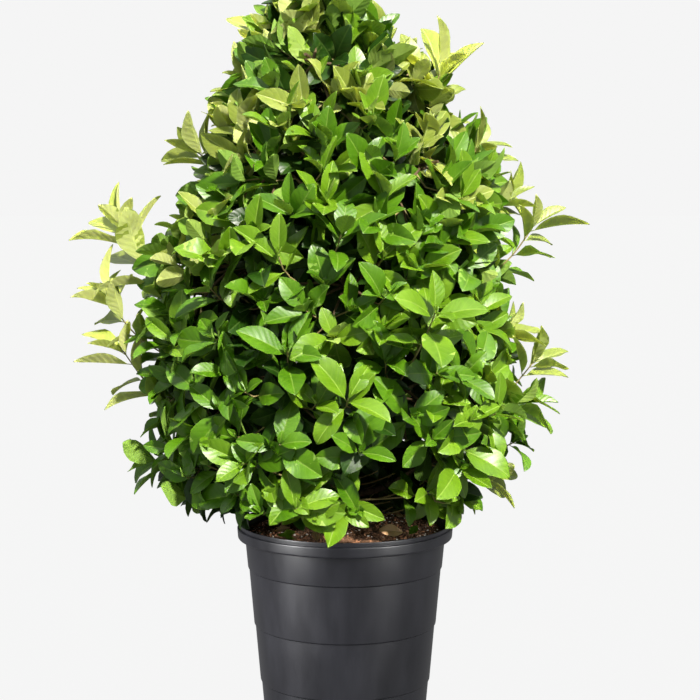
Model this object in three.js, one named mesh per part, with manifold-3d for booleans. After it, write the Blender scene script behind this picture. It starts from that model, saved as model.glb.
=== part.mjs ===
// Potted viburnum: a dense, loosely clipped cone of glossy evergreen leaves in a stepped nursery pot.
// Millimetres, +Z up. The origin is the centre of the pot's flat underside, and -Y is the front.

import * as THREE from "three";
import { mergeVertices } from "three/addons/utils/BufferGeometryUtils.js";
import Module from "manifold-3d";

const wasm = await Module();
wasm.setup();

// Driving dimensions of the pot
const POT_HEIGHT = 337;
const RIM_RADIUS = 180.5;
const RIM_HEIGHT = 25;
const LIP_THICKNESS = 3.5;
const LIP_ROUND = 4;
const NECK_RADIUS = 167.2; // the wall just under the rim
const WALL_TAPER = 0.0845; // radius lost for each millimetre down
const STEP_HEIGHTS = [70, 166, 262]; // each ledge, from the bottom up
const STEP_DEPTH = 2;
const STEP_RISE = 1.5;
const FOOT_CHAMFER = 3;
const WALL_THICKNESS = 3;
const FLOOR_THICKNESS = 4;
const POT_SIDES = 32;

// Driving dimensions of the potting mix
const SOIL_TOP = 326; // where the trunk stands
const SOIL_EDGE = 320; // at the pot's wall
const SOIL_FLAT_RADIUS = 60;

// Driving dimensions of the woody frame. Heights here and below are above the potting mix.
const TRUNK_HEIGHT = 840;
const TRUNK_RADIUS = 14;
const TRUNK_TIP_RADIUS = 4.5;
const ROOT_FLARE = 11;
const FLARE_HEIGHT = 16;
const LEAN = -26; // sideways drift of the crown's tip, along X
const WOBBLE = 7;
const TRUNK_SIDES = 9;
const TRUNK_STEPS = 14;
const BOUGH_SIDES = 5;
const BOUGH_STEPS = 2;
const BOUGH_SHARE = 0.52; // a bough's foot against the trunk's radius there
const BOUGH_TIP_RADIUS = 3.6;

// Driving dimensions of the crown's outline
const CROWN_TIP = 1000;
const CROWN_FOOT = 24;
const CROWN_HANG = 14; // no leaf hangs lower
const CROWN_RADIUS = 342;
const WIDEST_AT = 235;
const FOOT_SHARE = 0.66; // radius at the crown's foot against the widest
const SKIRT_SHIFT = -34; // the crown's foot hangs to the left
const SHIFT_HEIGHT = 150;
const DOME_POWER = 2.35;

// The tiers of the crown: how many masses each has, the height of their middles, the stretch of trunk
// that their boughs leave, how far out those end and how much they rise, the turn of the first one in
// degrees, and how many twigs a mass has
const TIERS = [
  { name: "skirt", count: 6, height: 98, from: [18, 84], end: 106, rise: 40, turn: -90, twigs: 7 },
  { name: "lower", count: 7, height: 262, from: [126, 214], end: 112, rise: 72, turn: -64, twigs: 6 },
  { name: "middle", count: 7, height: 432, from: [290, 376], end: 104, rise: 80, turn: -90, twigs: 6 },
  { name: "upper", count: 5, height: 600, from: [460, 530], end: 80, rise: 80, turn: -54, twigs: 7 },
  { name: "high", count: 3, height: 765, from: [640, 682], end: 46, rise: 70, turn: -100, twigs: 8 },
];
const ZIGZAG = 22; // neighbours in a tier stand higher and lower by turns
const TOP_HEIGHT = 884;
const TOP_TWIGS = 8;
const TOP_PROUD = 40;

// Driving dimensions of the foliage
const SITE_SHARE = 0.66; // how far out a mass has its middle
const SPREAD_SHARE = 0.92; // how much of its space a mass's twigs reach over
const STEM_RADIUS = 3.4;
const STEM_TIP_RADIUS = 2.8;
const STEM_REACH = 0.8; // how far out a stem ends, against the crown's radius
const STEM_SIDES = 4;
const TWIG_RADIUS = 3;
const TWIG_TIP_RADIUS = 2.4;
const TWIG_SIDES = 3;
const TWIG_DEPTH = 62; // how far inside the outline a twig ends
const LEAF_LENGTH = 102;
const LEAF_WIDTH = 52;
const LEAF_ROOT = 4.6; // how thick a leaf is where it leaves its twig, running out to the tip
const LEAF_FREE = 7; // how far from its root a leaf has to be clear of its neighbours
const LEAF_FOLD = 0.34; // rise of the margins against the half width
const LEAF_SIZES = [1, 0.86, 0.72]; // tried in turn
const LEAF_SPLAYS = [54, 40, 66, 80, 28]; // degrees from its twig, tried in turn
const LEAF_TURNS = [0, 20, -20, 38, -38]; // degrees round its twig, tried in turn
const SHOOT_WHORLS = [0, 52, 104]; // from the tip of a long shoot to each of its whorls
const PROUD = 20; // how far a leaf's tip may stand out of the clipped outline
const CORE_SHARE = 0.7; // a mass's core against its space
const CORE_DEPTH = 26; // how far inside the middle of its mass a core lies
const GOLDEN_ANGLE = Math.PI * (3 - Math.sqrt(5));

// Shoots that have outgrown the clipped outline: azimuth in degrees, height of the tip, how far out
// it reaches, and how far below the tip it leaves its mass
const LONG_SHOOTS = [
  { azimuth: 172, height: 488, reach: 336, drop: 70 },
  { azimuth: 182, height: 382, reach: 366, drop: 84 },
  { azimuth: 190, height: 312, reach: 330, drop: 44 },
  { azimuth: 182, height: 132, reach: 312, drop: 18 },
  { azimuth: -4, height: 530, reach: 306, drop: 30 },
  { azimuth: 8, height: 280, reach: 306, drop: 40 },
  { azimuth: -9, height: 206, reach: 296, drop: 14 },
  { azimuth: 12, height: 800, reach: 126, drop: 60 },
  { azimuth: 172, height: 770, reach: 152, drop: 58 },
  { azimuth: -168, height: 632, reach: 216, drop: 44 },
  { azimuth: -62, height: 420, reach: 314, drop: 60 },
  { azimuth: 62, height: 540, reach: 300, drop: 60 },
  { azimuth: 104, height: 330, reach: 326, drop: 50 },
  { azimuth: 128, height: 540, reach: 298, drop: 56 },
  { azimuth: 80, height: 190, reach: 322, drop: 30 },
];

// Clearances
const SEAT_GAP = 0.3; // between pieces that rest on each other
const SPACE_GAP = 0.8; // between neighbouring masses
const LIMB_GAP = 0.8; // between foliage and wood
const POT_GAP = 3; // between foliage and the pot

const UP = new THREE.Vector3(0, 0, 1);
const SIDE = new THREE.Vector3(1, 0, 0);
const FRONT_TO_BACK = new THREE.Vector3(0, 1, 0);
const radians = THREE.MathUtils.degToRad;
const lerp = THREE.MathUtils.lerp;

// A repeatable share from 0 to 1 for each set of keys
function scatter(a, b = 0, c = 0) {
  const x = Math.sin(a * 12.9898 + b * 78.233 + c * 37.719) * 43758.5453;
  return x - Math.floor(x);
}

// Solids from three.js geometry, and back again

function solidOf(geometry) {
  const plain = geometry.clone();
  plain.deleteAttribute("normal");
  plain.deleteAttribute("uv");
  const merged = mergeVertices(plain, 1e-3);
  const vertProperties = new Float32Array(merged.getAttribute("position").array);
  const triVerts = new Uint32Array(merged.index.array);
  return new wasm.Manifold(new wasm.Mesh({ numProp: 3, vertProperties, triVerts }));
}

function geometryOf(solid) {
  const { vertProperties, triVerts } = solid.getMesh();
  const geometry = new THREE.BufferGeometry();
  geometry.setAttribute("position", new THREE.BufferAttribute(vertProperties, 3));
  geometry.setIndex(new THREE.BufferAttribute(triVerts, 1));
  geometry.computeVertexNormals();
  return geometry;
}

// The largest body of a solid: sealed hollows and loose scraps are left behind
function mainBody(solid) {
  return solid.decompose().reduce((a, b) => (b.volume() > a.volume() ? b : a));
}

function named(name, geometry, material) {
  const mesh = new THREE.Mesh(geometry, material);
  mesh.name = name;
  return mesh;
}

// A profile of [radius, height] points turned round the Z axis
function turned(profile) {
  const points = profile.map(([radius, height]) => new THREE.Vector2(radius, height));
  return new THREE.LatheGeometry(points, POT_SIDES).rotateX(Math.PI / 2);
}

// Evenly spread shares along a curve
const evenly = (steps) => Array.from({ length: steps + 1 }, (_, i) => i / steps);

// Rings round a curve at the given shares of its length: each has its centre, way and two spokes
function ringsAlong(curve, shares) {
  const start = curve.getTangentAt(0);
  let spoke = new THREE.Vector3().crossVectors(start, Math.abs(start.z) > 0.9 ? SIDE : UP);
  return shares.map((share) => {
    const way = curve.getTangentAt(share);
    spoke = spoke.clone().addScaledVector(way, -spoke.dot(way)).normalize();
    const cross = new THREE.Vector3().crossVectors(way, spoke);
    return { centre: curve.getPointAt(share), way, spoke, cross };
  });
}

function roundRing(ring, turn, radius) {
  const out = ring.spoke.clone().multiplyScalar(radius * Math.cos(turn));
  return out.addScaledVector(ring.cross, radius * Math.sin(turn));
}

// A tapering limb with flat ends. A side that carries a leaf opens into the leaf's outline, given as
// its right, far right, tip, far left and left corners, so that limb and leaf are one skin.
function limb(rings, shares, sides, radiusAt, leaves = new Map()) {
  const position = [];
  const index = [];
  rings.forEach((ring, i) => {
    for (let s = 0; s < sides; s++) {
      const spoke = roundRing(ring, (2 * Math.PI * s) / sides, radiusAt(shares[i]));
      position.push(...spoke.add(ring.centre).toArray());
    }
  });
  for (let i = 0; i < rings.length - 1; i++) {
    for (let s = 0; s < sides; s++) {
      const a = i * sides + s;
      const b = i * sides + ((s + 1) % sides);
      const outline = leaves.get(a);
      if (outline) {
        const right = position.length / 3;
        outline.forEach((corner) => position.push(...corner.toArray()));
        index.push(...leafSkin(b + sides, a + sides, b, a, right));
      } else {
        index.push(a, b, a + sides, b, b + sides, a + sides);
      }
    }
  }
  const last = (rings.length - 1) * sides;
  for (let s = 1; s < sides - 1; s++) {
    index.push(0, s + 1, s);
    index.push(last, last + s, last + s + 1);
  }
  return indexed(position, index);
}

// The faces of a leaf: upper left, upper right, lower left and lower right corners of its root, then
// the five corners of its outline from the right one on
function leafSkin(upperLeft, upperRight, lowerLeft, lowerRight, right) {
  const [farRight, tip, farLeft, left] = [right + 1, right + 2, right + 3, right + 4];
  return [
    [upperRight, right, farRight],
    [upperRight, farRight, tip],
    [upperRight, tip, upperLeft],
    [upperLeft, tip, farLeft],
    [upperLeft, farLeft, left],
    [lowerRight, farRight, right],
    [lowerRight, tip, farRight],
    [lowerLeft, tip, lowerRight],
    [lowerLeft, farLeft, tip],
    [lowerLeft, left, farLeft],
    [right, upperRight, lowerRight],
    [upperLeft, left, lowerLeft],
  ].flat();
}

function indexed(position, index) {
  const geometry = new THREE.BufferGeometry();
  geometry.setAttribute("position", new THREE.Float32BufferAttribute(position, 3));
  geometry.setIndex(index);
  return geometry;
}

// The pot: stepped bands under a rim with a turned-down lip

function wallRadius(height, ledgesAbove) {
  const neck = POT_HEIGHT - RIM_HEIGHT;
  return NECK_RADIUS - WALL_TAPER * (neck - height) - STEP_DEPTH * ledgesAbove;
}

// The inside is a plain cone, one wall's thickness inside the ledges
const INNER_SLOPE =
  (wallRadius(STEP_HEIGHTS[2], 1) - wallRadius(STEP_HEIGHTS[0], 3)) / (STEP_HEIGHTS[2] - STEP_HEIGHTS[0]);
const innerRadius = (height) =>
  wallRadius(STEP_HEIGHTS[0], 3) - WALL_THICKNESS + INNER_SLOPE * (height - STEP_HEIGHTS[0]);

function potProfile() {
  const bands = STEP_HEIGHTS.length;
  const foot = wallRadius(0, bands);
  const profile = [
    [0, 0],
    [foot - FOOT_CHAMFER, 0],
    [foot, FOOT_CHAMFER],
  ];
  STEP_HEIGHTS.forEach((height, i) => {
    profile.push([wallRadius(height, bands - i), height]);
    profile.push([wallRadius(height, bands - i - 1), height + STEP_RISE]);
  });
  const lipFoot = POT_HEIGHT - RIM_HEIGHT;
  const ceiling = POT_HEIGHT - LIP_THICKNESS;
  profile.push([wallRadius(ceiling, 0), ceiling]);
  profile.push([RIM_RADIUS - LIP_THICKNESS, ceiling]);
  profile.push([RIM_RADIUS - LIP_THICKNESS, lipFoot]);
  profile.push([RIM_RADIUS, lipFoot]);
  for (const turn of [0, 30, 60, 90]) {
    const out = LIP_ROUND * (1 - Math.cos(radians(turn)));
    const up = LIP_ROUND * Math.sin(radians(turn));
    profile.push([RIM_RADIUS - out, POT_HEIGHT - LIP_ROUND + up]);
  }
  profile.push([innerRadius(POT_HEIGHT) + LIP_THICKNESS, POT_HEIGHT]);
  profile.push([innerRadius(POT_HEIGHT - LIP_THICKNESS), POT_HEIGHT - LIP_THICKNESS]);
  profile.push([innerRadius(FLOOR_THICKNESS), FLOOR_THICKNESS]);
  profile.push([0, FLOOR_THICKNESS]);
  return profile;
}

// The potting mix fills the pot and rises a little to the foot of the trunk
function soilProfile() {
  const low = FLOOR_THICKNESS + SEAT_GAP;
  return [
    [0, low],
    [innerRadius(low) - SEAT_GAP, low],
    [innerRadius(SOIL_EDGE) - SEAT_GAP, SOIL_EDGE],
    [SOIL_FLAT_RADIUS, SOIL_TOP],
    [0, SOIL_TOP],
  ];
}

// The trunk leans and wanders a little, and the crown leans with it

function axisAt(height) {
  const share = height / CROWN_TIP;
  const wander = WOBBLE * Math.sin(share * 9) * Math.min(1, height / 120);
  return new THREE.Vector3(LEAN * share * share + wander, wander * 0.8 - LEAN * 0.3 * share, height);
}

class TrunkLine extends THREE.Curve {
  getPoint(share, target = new THREE.Vector3()) {
    return target.copy(axisAt(SEAT_GAP + share * (TRUNK_HEIGHT - SEAT_GAP)));
  }
}

function trunkRadius(height) {
  const taper = lerp(TRUNK_RADIUS, TRUNK_TIP_RADIUS, height / TRUNK_HEIGHT);
  return taper + ROOT_FLARE * Math.exp(-height / FLARE_HEIGHT);
}

// The trunk's rings lie level, as its foot does, and crowd towards the flare
function trunkGeometry(extra) {
  const shares = evenly(TRUNK_STEPS).map((share) => share ** 1.6);
  const line = new TrunkLine();
  const level = { way: UP, spoke: SIDE, cross: FRONT_TO_BACK };
  const rings = shares.map((share) => ({ ...level, centre: line.getPoint(share) }));
  return limb(rings, shares, TRUNK_SIDES, (share) => trunkRadius(line.getPoint(share).z) + extra);
}

// The crown's outline, round the leaning axis

function crownRadius(height) {
  if (height < WIDEST_AT) {
    const under = (WIDEST_AT - height) / (WIDEST_AT - CROWN_FOOT);
    return CROWN_RADIUS * (1 - (1 - FOOT_SHARE) * under * under);
  }
  const over = Math.min(1, (height - WIDEST_AT) / (CROWN_TIP - WIDEST_AT));
  return CROWN_RADIUS * (1 - over ** DOME_POWER);
}

function crownCentre(height) {
  const centre = axisAt(height);
  centre.x += SKIRT_SHIFT * Math.exp(-((height / SHIFT_HEIGHT) ** 2));
  return centre;
}

function fromAxis(azimuth, height, radius) {
  return axisAt(height).add(new THREE.Vector3(radius * Math.cos(azimuth), radius * Math.sin(azimuth), 0));
}

function crownPoint(azimuth, height, radius) {
  const out = new THREE.Vector3(Math.cos(azimuth), Math.sin(azimuth), 0);
  return crownCentre(height).addScaledVector(out, radius);
}

// Where each mass has its middle, with the bough that carries it
function layOut() {
  const masses = [];
  TIERS.forEach((tier, t) => {
    for (let i = 0; i < tier.count; i++) {
      const azimuth = radians(tier.turn + (360 * i) / tier.count + 10 * (scatter(t, i, 1) - 0.5));
      const height = tier.height + ZIGZAG * (i % 2 ? 1 : -1) + 12 * (scatter(t, i, 2) - 0.5);
      const from = lerp(...tier.from, ((i % 2) + i / tier.count) / 2);
      masses.push({
        name: `${tier.name}_foliage_${i + 1}`,
        boughName: `${tier.name}_bough_${i + 1}`,
        azimuth,
        height,
        twigs: tier.twigs,
        proud: PROUD,
        site: crownPoint(azimuth, height, SITE_SHARE * crownRadius(height)),
        spread: Math.PI / tier.count,
        halfWidth: (Math.PI * SITE_SHARE * crownRadius(height)) / tier.count,
        halfHeight: tier.height < 130 ? 78 : 88,
        boughFoot: axisAt(from),
        boughTip: fromAxis(azimuth, from + tier.rise, tier.end),
      });
    }
  });
  masses.push({
    name: "top_foliage",
    azimuth: radians(-90),
    height: TOP_HEIGHT,
    twigs: TOP_TWIGS,
    proud: TOP_PROUD,
    site: axisAt(TOP_HEIGHT),
    spread: Math.PI,
    halfWidth: 60,
    halfHeight: 60,
  });
  return masses;
}

const masses = layOut();

// A bough sweeps out of the trunk and turns up towards its mass
function boughCurve(mass) {
  const { boughFoot, boughTip } = mass;
  const bend = boughFoot.clone().lerp(boughTip, 0.55);
  bend.z -= 0.16 * boughFoot.distanceTo(boughTip);
  return new THREE.QuadraticBezierCurve3(boughFoot, bend, boughTip);
}

function boughGeometry(mass, extra) {
  const foot = trunkRadius(mass.boughFoot.z) * BOUGH_SHARE;
  const shares = evenly(BOUGH_STEPS);
  const rings = ringsAlong(boughCurve(mass), shares);
  return limb(rings, shares, BOUGH_SIDES, (share) => lerp(foot, BOUGH_TIP_RADIUS, share) + extra);
}

// Everything that foliage has to stay clear of
function obstacles() {
  const wood = masses.filter((mass) => mass.boughTip).map((mass) => solidOf(boughGeometry(mass, LIMB_GAP)));
  const pot = new THREE.CylinderGeometry(RIM_RADIUS + POT_GAP, RIM_RADIUS + POT_GAP, POT_HEIGHT, POT_SIDES);
  pot.rotateX(Math.PI / 2).translate(0, 0, POT_HEIGHT / 2 + POT_GAP - SOIL_TOP);
  return wasm.Manifold.union([solidOf(trunkGeometry(LIMB_GAP)), solidOf(pot), ...wood]);
}

const keptClear = obstacles();

// A mass's own space is nearer to its middle than to any other's
function inOwnSpace(point, mass) {
  return masses.every((other) => {
    if (other === mass) return true;
    const way = other.site.clone().sub(mass.site);
    const middle = mass.site.clone().add(other.site).multiplyScalar(0.5);
    return point.clone().sub(middle).dot(way) / way.length() < -SPACE_GAP / 2;
  });
}

function inOutline(point, proud) {
  const centre = crownCentre(Math.min(point.z, CROWN_TIP));
  const radius = Math.hypot(point.x - centre.x, point.y - centre.y);
  return radius < crownRadius(point.z) + proud && point.z < CROWN_TIP + proud && point.z > CROWN_HANG;
}

function cornersOf(geometry) {
  const position = geometry.getAttribute("position");
  const corner = (_, i) => new THREE.Vector3().fromBufferAttribute(position, i);
  return Array.from({ length: position.count }, corner);
}

// The solid of a twig or leaf, or null where it would leave the mass's space or touch a limb
function fitted(geometry, mass, proud) {
  const fits = cornersOf(geometry).every((p) => inOwnSpace(p, mass) && inOutline(p, proud));
  if (!fits) return null;
  const solid = solidOf(geometry);
  return solid.intersect(keptClear).isEmpty() ? solid : null;
}

// The outline of a leaf along X, folded up along its midrib: right, far right, tip, far left, left
const OUTLINE = [
  [0.34, -0.86],
  [0.7, -0.94],
  [1, 0],
  [0.7, 0.94],
  [0.34, 0.86],
].map(([along, across]) => {
  const half = (LEAF_WIDTH / 2) * across;
  return new THREE.Vector3(LEAF_LENGTH * along, half, LEAF_FOLD * Math.abs(half));
});

// Where a leaf sits on a twig: splayed from the twig's way towards one side, upper face to the tip
function leafPlace(root, way, out, splay, size) {
  const along = way.clone().multiplyScalar(Math.cos(splay)).addScaledVector(out, Math.sin(splay));
  const normal = way.clone().multiplyScalar(Math.sin(splay)).addScaledVector(out, -Math.cos(splay));
  const across = new THREE.Vector3().crossVectors(normal, along);
  const place = new THREE.Matrix4().makeBasis(along, across, normal).setPosition(root);
  return place.scale(new THREE.Vector3(size, size, size));
}

// A leaf by itself, from some way along its midrib to its tip
function loneLeaf(place, from) {
  const thick = LEAF_ROOT / 2;
  const root = [
    [from, 1, thick],
    [from, -1, thick],
    [from, 1, -thick],
    [from, -1, -thick],
  ].map((corner) => new THREE.Vector3(...corner));
  const corners = [...root, ...OUTLINE].map((corner) => corner.clone().applyMatrix4(place));
  const back = [1, 0, 2, 1, 2, 3];
  return indexed(corners.flatMap((corner) => corner.toArray()), [...leafSkin(0, 1, 2, 3, 4), ...back]);
}

// The first of the sizes, splays and turns that lets a leaf fit among what has grown, if any does
function fittedLeaf(ring, out, twig, mass, grown) {
  for (const size of LEAF_SIZES) {
    for (const splay of LEAF_SPLAYS) {
      for (const turn of LEAF_TURNS) {
        const side = out.clone().applyAxisAngle(ring.way, radians(turn));
        const place = leafPlace(ring.centre, ring.way, side, radians(splay), size);
        if (!fitted(loneLeaf(place, 1), mass, twig.proud)) continue;
        const free = solidOf(loneLeaf(place, LEAF_FREE));
        if (crosses(free, grown)) continue;
        grown.push(free);
        return OUTLINE.map((corner) => corner.clone().applyMatrix4(place));
      }
    }
  }
  return null;
}

const crosses = (solid, others) => others.some((other) => !solid.intersect(other).isEmpty());

// The rings of a twig: at its foot, and below and above each whorl of leaves
function twigShares(twig) {
  const length = twig.line.getLength();
  const shares = twig.whorls.flatMap((back) => [1 - back / length, 1 - (back + LEAF_ROOT) / length]);
  return [0, ...shares.filter((share) => share > 0.2).sort((a, b) => a - b)];
}

function twigRadius(twig) {
  return (share) => lerp(twig.foot, twig.tip, share);
}

function bareTwig(twig) {
  return limb(ringsAlong(twig.line, [0, 0.5, 1]), [0, 0.5, 1], twig.sides, twigRadius(twig));
}

// The stretch of a twig beyond the middle of its mass
function outerPart(twig) {
  const shares = [0.6, 1];
  return solidOf(limb(ringsAlong(twig.line, shares), shares, twig.sides, twigRadius(twig)));
}

// A twig with a leaf on each side of each whorl, where there is room for it
function leafyTwig(twig, mass, grown) {
  const shares = twigShares(twig);
  const rings = ringsAlong(twig.line, shares);
  const leaves = new Map();
  for (let i = rings.length - 2; i > 0; i -= 2) {
    const middle = { way: rings[i].way, centre: rings[i].centre.clone().lerp(rings[i + 1].centre, 0.5) };
    for (let s = 0; s < twig.sides; s++) {
      const out = roundRing(rings[i], (2 * Math.PI * (s + 0.5)) / twig.sides, 1);
      const outline = fittedLeaf(middle, out, twig, mass, grown);
      if (outline) leaves.set(i * twig.sides + s, outline);
    }
  }
  return limb(rings, shares, twig.sides, twigRadius(twig), leaves);
}

// The stem carries on from the tip of its bough, or of the trunk, to near the outline
function stemCurve(mass) {
  const top = !mass.boughTip;
  const line = top ? new TrunkLine() : boughCurve(mass);
  const way = top ? UP.clone() : line.getTangentAt(1);
  const start = line.getPoint(1).addScaledVector(way, SEAT_GAP);
  const reach = STEM_REACH * crownRadius(mass.height);
  const end = top ? axisAt(CROWN_TIP - TWIG_DEPTH) : crownPoint(mass.azimuth, mass.height + 30, reach);
  const bend = start.clone().addScaledVector(way, 0.4 * start.distanceTo(end));
  return new THREE.QuadraticBezierCurve3(start, bend, end);
}

// Twigs run from the stem to points spread over the face of the mass's space, as seeds spread over a
// flower head
function twigsOf(mass, stem, index) {
  const thin = { foot: TWIG_RADIUS, tip: TWIG_TIP_RADIUS, sides: TWIG_SIDES, whorls: [0] };
  thin.proud = mass.proud;
  const twigs = [{ ...thin, line: stem, foot: STEM_RADIUS, tip: STEM_TIP_RADIUS, sides: STEM_SIDES }];
  for (let i = 0; i < mass.twigs; i++) {
    const out = SPREAD_SHARE * Math.sqrt((i + 0.7) / mass.twigs);
    const turn = i * GOLDEN_ANGLE + 6 * mass.azimuth;
    const level = mass.height + mass.halfHeight * out * Math.sin(turn);
    const height = THREE.MathUtils.clamp(level, CROWN_FOOT + 20, CROWN_TIP - TWIG_DEPTH);
    const sweep = mass.spread * out * Math.cos(turn);
    const radius = Math.max(34, crownRadius(height) - TWIG_DEPTH);
    const target = crownPoint(mass.azimuth + sweep, height, radius);
    const line = new THREE.LineCurve3(stem.getPointAt(0.25 + 0.6 * scatter(index, i, 5)), target);
    twigs.push({ ...thin, line });
  }
  LONG_SHOOTS.forEach((shoot) => {
    if (nearestMass(shootTip(shoot)) !== mass) return;
    const free = { ...thin, whorls: SHOOT_WHORLS, proud: CROWN_RADIUS };
    const tries = [1, 0.6, 0.3, 0, -0.3].map((bow) => ({ ...free, line: shootCurve(shoot, stem, bow) }));
    twigs.push(tries.find((twig) => fitted(bareTwig(twig), mass, twig.proud)) ?? tries[0]);
  });
  return twigs;
}

// A long shoot leaves its mass's stem and bends up to its tip
function shootCurve(shoot, stem, bow) {
  const tip = shootTip(shoot);
  const foot = stem.getPointAt(0.6);
  const bend = foot.clone().lerp(tip, 0.75);
  bend.z = tip.z - shoot.drop * bow;
  return new THREE.QuadraticBezierCurve3(foot, bend, tip);
}

const shootTip = (shoot) => crownPoint(radians(shoot.azimuth), shoot.height, shoot.reach);

function nearestMass(point) {
  return masses.reduce((a, b) => (b.site.distanceTo(point) < a.site.distanceTo(point) ? b : a));
}

// The core of a dense mass shrinks until it fits its space and clears the wood
function core(mass) {
  for (let share = CORE_SHARE; share > 0.2; share -= 0.06) {
    const ball = new THREE.OctahedronGeometry(1, 1);
    ball.scale(share * mass.halfHeight * 0.8, share * mass.halfWidth, share * mass.halfHeight);
    ball.translate(mass.boughTip ? -CORE_DEPTH : 0, 0, 0).rotateZ(mass.azimuth);
    ball.translate(mass.site.x, mass.site.y, mass.site.z);
    const solid = fitted(ball, mass, 0);
    if (solid) return [solid];
  }
  return [];
}

// The stem and core first, then the twigs, then their leaves, each where there is room for it
function massSolid(mass, index) {
  const [stem, ...twigs] = twigsOf(mass, stemCurve(mass), index);
  const heart = core(mass);
  const sprays = [];
  const kept = twigs.filter((twig) => {
    const solid = fitted(bareTwig(twig), mass, twig.proud);
    if (!solid || crosses(outerPart(twig), sprays)) return false;
    sprays.push(solid);
    return true;
  });
  const grown = [solidOf(bareTwig(stem)), ...heart, ...sprays];
  const leafy = [stem, ...kept].map((twig) => solidOf(leafyTwig(twig, mass, grown)));
  return mainBody(wasm.Manifold.union([...heart, ...leafy]));
}

// Materials

const plastic = new THREE.MeshStandardMaterial({ color: 0x35363a, roughness: 0.45, metalness: 0 });
const pottingMix = new THREE.MeshStandardMaterial({ color: 0x3a281c, roughness: 0.95, metalness: 0 });
const bark = new THREE.MeshStandardMaterial({ color: 0x6d5a45, roughness: 0.85, metalness: 0 });
const foliage = new THREE.MeshStandardMaterial({ color: 0x5c9a1e, roughness: 0.35, metalness: 0 });

// Assembly

const container = new THREE.Group();
container.add(named("pot", turned(potProfile()), plastic));
container.add(named("soil", turned(soilProfile()), pottingMix));

const wood = new THREE.Group();
wood.add(named("trunk", trunkGeometry(0), bark));
const trunkSeat = solidOf(trunkGeometry(SEAT_GAP));
masses
  .filter((mass) => mass.boughTip)
  .forEach((mass) => {
    const solid = mainBody(solidOf(boughGeometry(mass, 0)).subtract(trunkSeat));
    wood.add(named(mass.boughName, geometryOf(solid), bark));
  });

const leaves = new THREE.Group();
masses.forEach((mass, i) => leaves.add(named(mass.name, geometryOf(massSolid(mass, i)), foliage)));

const plant = new THREE.Group();
plant.position.z = SOIL_TOP;
plant.add(wood, leaves);

const pottedViburnum = new THREE.Group();
pottedViburnum.add(container, plant);

export default pottedViburnum;
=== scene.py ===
# %% [markdown]
# # A potted viburnum
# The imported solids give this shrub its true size: a stepped black nursery pot, a trunk with
# tiers of boughs, and one leafy mass at the tip of each bough. In this lesson we keep every
# place and size that they give and grow the looks on them: some thousands of folded, glossy
# leaves, bark with relief, potting mix with bark chips and white grains, and moulded plastic.

# %% Load the frame
import math

import bpy
import numpy as np
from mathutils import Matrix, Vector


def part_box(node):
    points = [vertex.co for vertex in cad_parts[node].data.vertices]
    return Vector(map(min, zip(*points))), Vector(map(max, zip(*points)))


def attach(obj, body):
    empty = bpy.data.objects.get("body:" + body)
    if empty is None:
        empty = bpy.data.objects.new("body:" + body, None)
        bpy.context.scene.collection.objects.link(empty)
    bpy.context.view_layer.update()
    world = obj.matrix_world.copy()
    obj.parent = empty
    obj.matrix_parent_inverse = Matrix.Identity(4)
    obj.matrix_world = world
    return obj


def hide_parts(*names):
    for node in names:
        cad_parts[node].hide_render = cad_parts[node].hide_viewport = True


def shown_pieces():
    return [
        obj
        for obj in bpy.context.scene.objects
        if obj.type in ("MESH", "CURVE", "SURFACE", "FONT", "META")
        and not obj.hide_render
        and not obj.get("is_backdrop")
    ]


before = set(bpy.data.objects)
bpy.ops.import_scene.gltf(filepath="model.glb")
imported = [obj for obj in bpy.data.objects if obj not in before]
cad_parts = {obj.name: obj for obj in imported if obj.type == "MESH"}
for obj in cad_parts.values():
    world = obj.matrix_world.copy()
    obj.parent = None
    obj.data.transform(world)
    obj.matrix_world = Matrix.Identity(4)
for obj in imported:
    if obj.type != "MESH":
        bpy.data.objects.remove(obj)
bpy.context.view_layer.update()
NODES = sorted(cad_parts)
BOUGH_NODES = [name for name in NODES if "_bough_" in name]
FOLIAGE_NODES = [name for name in NODES if "foliage" in name]
print(len(NODES), "nodes:", len(BOUGH_NODES), "boughs,", len(FOLIAGE_NODES), "leafy masses")

# %% [markdown]
# ## Sizes from the frame
# A nursery pot is moulded to a size, so its height and rim come straight from the pot's own
# box, and the soil level from the soil's. Everything that grows is measured from that level.

# %% Driving sizes
RIM_RADIUS, _, POT_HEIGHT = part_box("pot")[1]
SOIL_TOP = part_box("soil")[1][2]
TRUNK_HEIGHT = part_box("trunk")[1][2] - SOIL_TOP
UP = np.array([0.0, 0.0, 1.0])
GOLDEN_ANGLE = math.pi * (3 - math.sqrt(5))
print("pot", round(POT_HEIGHT, 3), "m high, trunk", round(TRUNK_HEIGHT, 3), "m above the soil")

# %% [markdown]
# ## Small helpers
# Every piece ends the same way: points and faces go into a mesh at the origin, the mesh gets
# its finishes, the piece rides on the root body, and the solids it stands in for are hidden.
# One helper does that, so no piece can be forgotten.


# %% Helpers for vectors and pieces
def unit(vector):
    """A vector of length one, along the last axis of an array."""
    return vector / np.maximum(np.linalg.norm(vector, axis=-1, keepdims=True), 1e-12)


def lerp(start, end, share):
    return start + (end - start) * share


def scatter(a, b, c):
    """A fixed number from 0 to 1 for three whole numbers: the same plant on every run."""
    value = math.sin(a * 12.9898 + b * 78.233 + c * 37.719) * 43758.5453
    return value - math.floor(value)


def bezier(points, share):
    """A point on the curve that leaves the first point towards the second and ends at the third."""
    start, bend, end = points
    return (1 - share) ** 2 * start + 2 * share * (1 - share) * bend + share**2 * end


def bezier_tangent(points, share):
    start, bend, end = points
    return unit((1 - share) * (bend - start) + share * (end - bend))


def settle(piece, slot, *nodes):
    """Hands a finished piece to the frame."""
    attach(piece, "root")
    if nodes:
        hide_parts(*nodes)
    piece.data.calc_loop_triangles()
    print(piece.name, len(piece.data.loop_triangles), "triangles")
    return piece


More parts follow.
